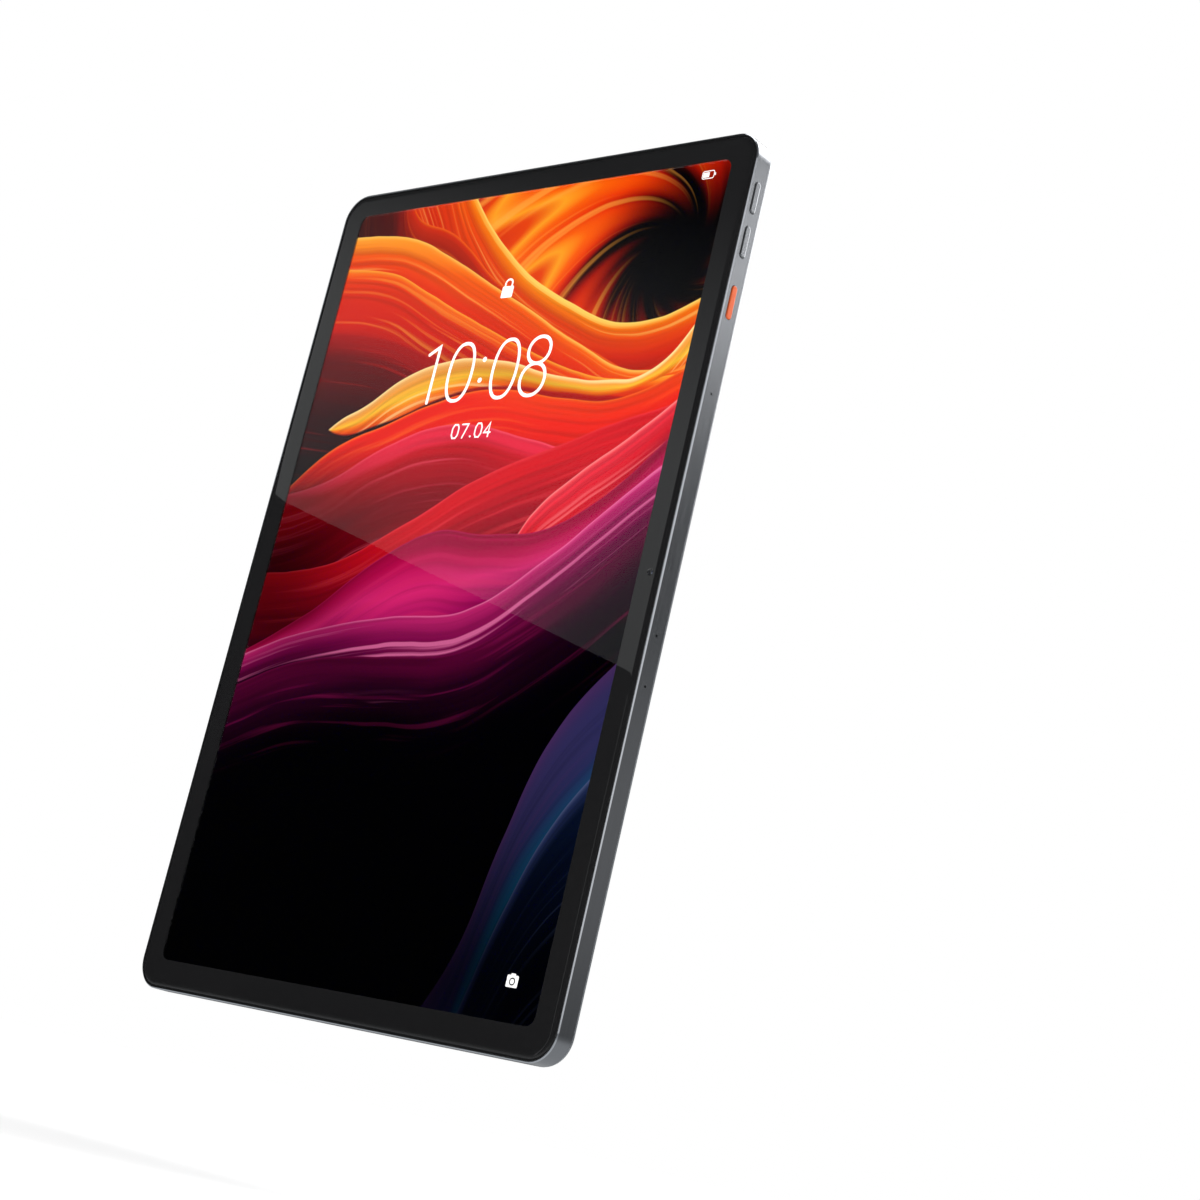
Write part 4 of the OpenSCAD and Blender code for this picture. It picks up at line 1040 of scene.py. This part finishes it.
def screen_icons():
    """Padlock, battery level and camera marks, and the dark ring on the camera."""
    bm = bmesh.new()
    padlock(bm, -1.0 * MM, 87.4 * MM)
    battery_mark(bm, 66.6 * MM, 116.4 * MM)
    x, z = 63.7 * MM, -108.6 * MM
    plate(bm, (x, z), 3.9, 3.1, 0.35, 4)
    plate(bm, (x, z + 1.65 * MM), 1.6, 0.7, 0.2, 3, MARK_OVER)
    new_piece("screen_marks", bm, ICON, smooth=False)
    dark = bmesh.new()
    stroke(dark, oval((x, z - 0.05 * MM), 0.86 * MM, 0.86 * MM, 28), 0.36 * MM, MARK_FRONT - 0.008 * MM,
           MARK_FRONT - 0.003 * MM, closed=True)
    new_piece("screen_mark_hole", dark, BLACK_PLASTIC, smooth=False)


ICON = icon_white()
clock_digits()
small_date()
screen_icons()

# ---------------------------------------------------------------- ribbed band on the rear

RIB_PITCH = 0.90 * MM
RIB_BASE = -0.262 * MM
RIB_TOP = -0.03 * MM
# cross-section of a rib: millimetres across, part of the height
RIB_PROFILE = (
    (-0.30, 0.0), (-0.25, 0.60), (-0.15, 0.90), (0.0, 1.0), (0.15, 0.90), (0.25, 0.60), (0.30, 0.0),
)
# how far across the ribs they are tried from the middle of the band; its corners lie at 103 mm
RIB_REACH = 119.0 * MM
SHORTEST_RIB = 0.5 * MM
SHORTEST_PART = 0.15 * MM
RIB_MARGIN = 0.12 * MM
SEARCH_STEPS = 40
HALVINGS = 24


def clip_rounded(origin, way, x_span, z_span, radius):
    """Where a line runs inside a rounded rectangle: (start, end) along it, or None."""
    def inside(t):
        x = origin[0] + way[0] * t
        z = origin[1] + way[1] * t
        dx = max(x_span[0] + radius - x, x - x_span[1] + radius, 0.0)
        dz = max(z_span[0] + radius - z, z - z_span[1] + radius, 0.0)
        return dx * dx + dz * dz <= radius * radius
    # straight sides first, then pull each end in to the round
    start, end = -1.0, 1.0
    for o, w, span in ((origin[0], way[0], x_span), (origin[1], way[1], z_span)):
        a, b = sorted(((span[0] - o) / w, (span[1] - o) / w))
        start, end = max(start, a), min(end, b)
    if start >= end:
        return None
    tries = [start + (end - start) * k / SEARCH_STEPS for k in range(1, SEARCH_STEPS)]
    held = [t for t in tries if inside(t)]
    if not held:
        return None
    found = []
    for good, bad in ((held[0], start), (held[-1], end)):
        if inside(bad):
            found.append(bad)
            continue
        for _ in range(HALVINGS):
            half = (good + bad) / 2
            if inside(half):
                good = half
            else:
                bad = half
        found.append(good)
    return found


def make_ribs():
    """Slanting ribs over the whole band, cut short at its edges and round the camera island."""
    bm = bmesh.new()
    way = (-math.sqrt(0.5), math.sqrt(0.5))
    side = (math.sqrt(0.5), math.sqrt(0.5))
    x_span = (BAND_X[0] + RIB_MARGIN, BAND_X[1] - RIB_MARGIN)
    z_span = (-BAND_Z + RIB_MARGIN, BAND_Z - RIB_MARGIN)
    isle_x = (ISLAND_X[0] - RIB_MARGIN, ISLAND_X[1] + RIB_MARGIN)
    isle_z = (ISLAND_Z[0] - RIB_MARGIN, ISLAND_Z[1] + RIB_MARGIN)
    centre = ((BAND_X[0] + BAND_X[1]) / 2, 0.0)
    reach = int(RIB_REACH / RIB_PITCH)
    for number in range(-reach, reach + 1):
        lines = []
        for offset, _ in RIB_PROFILE:
            shift = number * RIB_PITCH + offset * MM
            origin = (centre[0] + side[0] * shift, centre[1] + side[1] * shift)
            lines.append((origin, clip_rounded(origin, way, x_span, z_span, BAND_RADIUS)))
        if any(span is None or span[1] - span[0] < SHORTEST_RIB for _, span in lines):
            continue
        holes = [clip_rounded(origin, way, isle_x, isle_z, ISLAND_RADIUS + RIB_MARGIN) for origin, _ in lines]
        if any(holes):
            known = next(hole for hole in holes if hole)
            middle = (known[0] + known[1]) / 2
            holes = [hole or [middle, middle] for hole in holes]
            parts = [[(span[0], hole[0]) for (_, span), hole in zip(lines, holes)],
                     [(hole[1], span[1]) for (_, span), hole in zip(lines, holes)]]
        else:
            parts = [[tuple(span) for _, span in lines]]
        for part in parts:
            if any(b - a < SHORTEST_PART for a, b in part):
                continue
            rows = ([], [])
            for (origin, _), (_, height), span in zip(lines, RIB_PROFILE, part):
                y = RIB_BASE + (RIB_TOP - RIB_BASE) * height
                for row, t in zip(rows, span):
                    row.append((origin[0] + way[0] * t, y, origin[1] + way[1] * t))
            loft(bm, rows)
    # the ribs carry the painted light of their lighter finish
    new_piece("rear_ribs", bm, LIT_RIB_FINISH)


make_ribs()

# ---------------------------------------------------------------- light and floor

FLOOR_LEVEL = -0.170


def make_world():
    """White for the eye, dim for reflections, dimmest in front and brighter again below."""
    world = bpy.data.worlds.new("studio")
    bpy.context.scene.world = world
    w = Tree(world, "OutputWorld")
    way = w.add("TexCoord").outputs["Generated"]
    front, down = (w.add("VectorMath", {0: way, 1: axis}, operation="DOT_PRODUCT").outputs["Value"]
                   for axis in ((-0.68, -0.72, 0.10), (0.0, 0.0, -1.0)))
    level = w.plus(w.remap(front, 0.15, 0.80, 0.13, 0.012, smooth=True),
                   w.remap(down, 0.03, 0.34, 0.0, 0.42, smooth=True))
    dim = w.add("Background", {"Color": (0.95, 0.98, 1.0, 1.0), "Strength": level})
    white = w.add("Background", {"Color": WHITE, "Strength": 1.0})
    seen = w.add("LightPath").outputs["Is Camera Ray"]
    both = w.add("MixShader", {0: seen, 1: dim.outputs[0], 2: white.outputs[0]})
    w.links.new(both.outputs[0], w.output.inputs[0])


def softbox(name, place, size, watts, target):
    """A soft rectangular lamp that faces its target."""
    data = bpy.data.lights.new(name, "AREA")
    data.shape = "RECTANGLE"
    data.size, data.size_y = size
    data.energy = watts
    lamp = bpy.data.objects.new(name, data)
    bpy.context.collection.objects.link(lamp)
    way = Vector(place) - Vector(target)
    lamp.matrix_world = Matrix.Translation(place) @ way.to_track_quat("Z", "Y").to_matrix().to_4x4()
    lamp.visible_camera = False


def make_floor():
    """A pale floor that glows to white away from the tablet's shadow."""
    bm = bmesh.new()
    rings = [[(x, y, FLOOR_LEVEL) for x, y in circle((0.0, 0.0), radius, 64)]
             for radius in (0.4, 1.5, 5.0, 18.0, 40.0)]
    loft(bm, rings, (True, False))
    bmesh.ops.recalc_face_normals(bm, faces=bm.faces)
    s = Shade("floor_pale")
    base = s.blend(s.noise(3.0, 3.0), (0.86, 0.86, 0.86, 1.0), (0.90, 0.90, 0.90, 1.0))
    x, y, _ = s.axes()
    away = s.math("SQRT", s.plus(s.times(x, x), s.times(y, y)))
    glow = s.remap(away, 0.10, 0.27, 0.66, 1.12, smooth=True)
    s.principled(Base_Color=base, Roughness=0.9, Emission_Color=WHITE, Emission_Strength=glow,
                 Specular_IOR_Level=0.0)
    floor = placed("floor", bm, s.material)
    floor.visible_glossy = False


GLARE_Y = -0.60
GLARE_SLOPE = -0.3232
GLARE_DROP = 0.0022
GLARE_ROWS = 8


def glare_edge(x):
    """Height of the panel's lower edge."""
    return GLARE_SLOPE * x - GLARE_DROP


def make_glare_panel():
    """A tall soft panel, front left: its slanting lower edge is the line across the glass.
    The narrow strip under its right end draws the thin line where the glass starts to curve."""
    bm = bmesh.new()
    left, right = -1.30, -0.435
    for x0, x1, low0, low1, high in ((left, right, glare_edge(left), glare_edge(right), 0.62),
                                     (-0.395, -0.365, -0.22, -0.22, 0.34)):
        rises = [high * k / GLARE_ROWS for k in range(GLARE_ROWS + 1)]
        rings = [[(x0, GLARE_Y, low0 + rise), (x1, GLARE_Y, low1 + rise)] for rise in rises]
        loft(bm, rings, (False, False), closed_ring=False)
    s = Shade("panel_light")
    x, _, z = s.axes()
    up = s.minus(z, s.plus(s.times(x, GLARE_SLOPE), -GLARE_DROP))
    fade = s.remap(up, 0.13, 0.34, 1.0, 0.06, smooth=True)
    emit = s.add("Emission", {"Color": (0.97, 1.0, 1.0, 1.0), "Strength": s.times(fade, 0.62)})
    s.links.new(emit.outputs[0], s.output.inputs[0])
    panel = placed("glare_panel", bm, s.material)
    panel.visible_camera = False
    panel.visible_shadow = False


make_world()
make_floor()
make_glare_panel()

MIDDLE = (0.0, 0.0, 0.0)
# name, place, size, watts, target
SOFTBOXES = (
    ("wall_box", (0.82, 0.83, 0.56), (1.0, 0.18), 0.66, (0.083, 0.0, 0.085)),
    ("low_wall_box", (0.82, 0.83, 0.09), (1.0, 0.22), 0.13, (0.083, 0.0, -0.06)),
    ("high_box", (0.55, 0.62, 0.95), (0.9, 0.5), 1.0, MIDDLE),
    ("eye_box", (0.86, -0.79, 0.27), (0.5, 0.72), 0.78, MIDDLE),
    ("left_box", (-1.15, 0.24, 0.10), (0.5, 0.6), 0.55, MIDDLE),
    ("rear_box", (0.10, 0.46, 0.42), (0.45, 0.45), 3.3, (0.04, 0.0, 0.05)),
    ("rear_fill", (-0.60, 0.95, 0.45), (0.7, 0.7), 2.4, MIDDLE),
    ("top_box", (-0.15, 0.10, 1.40), (1.0, 1.0), 6.0, MIDDLE),
)
for box in SOFTBOXES:
    softbox(*box)
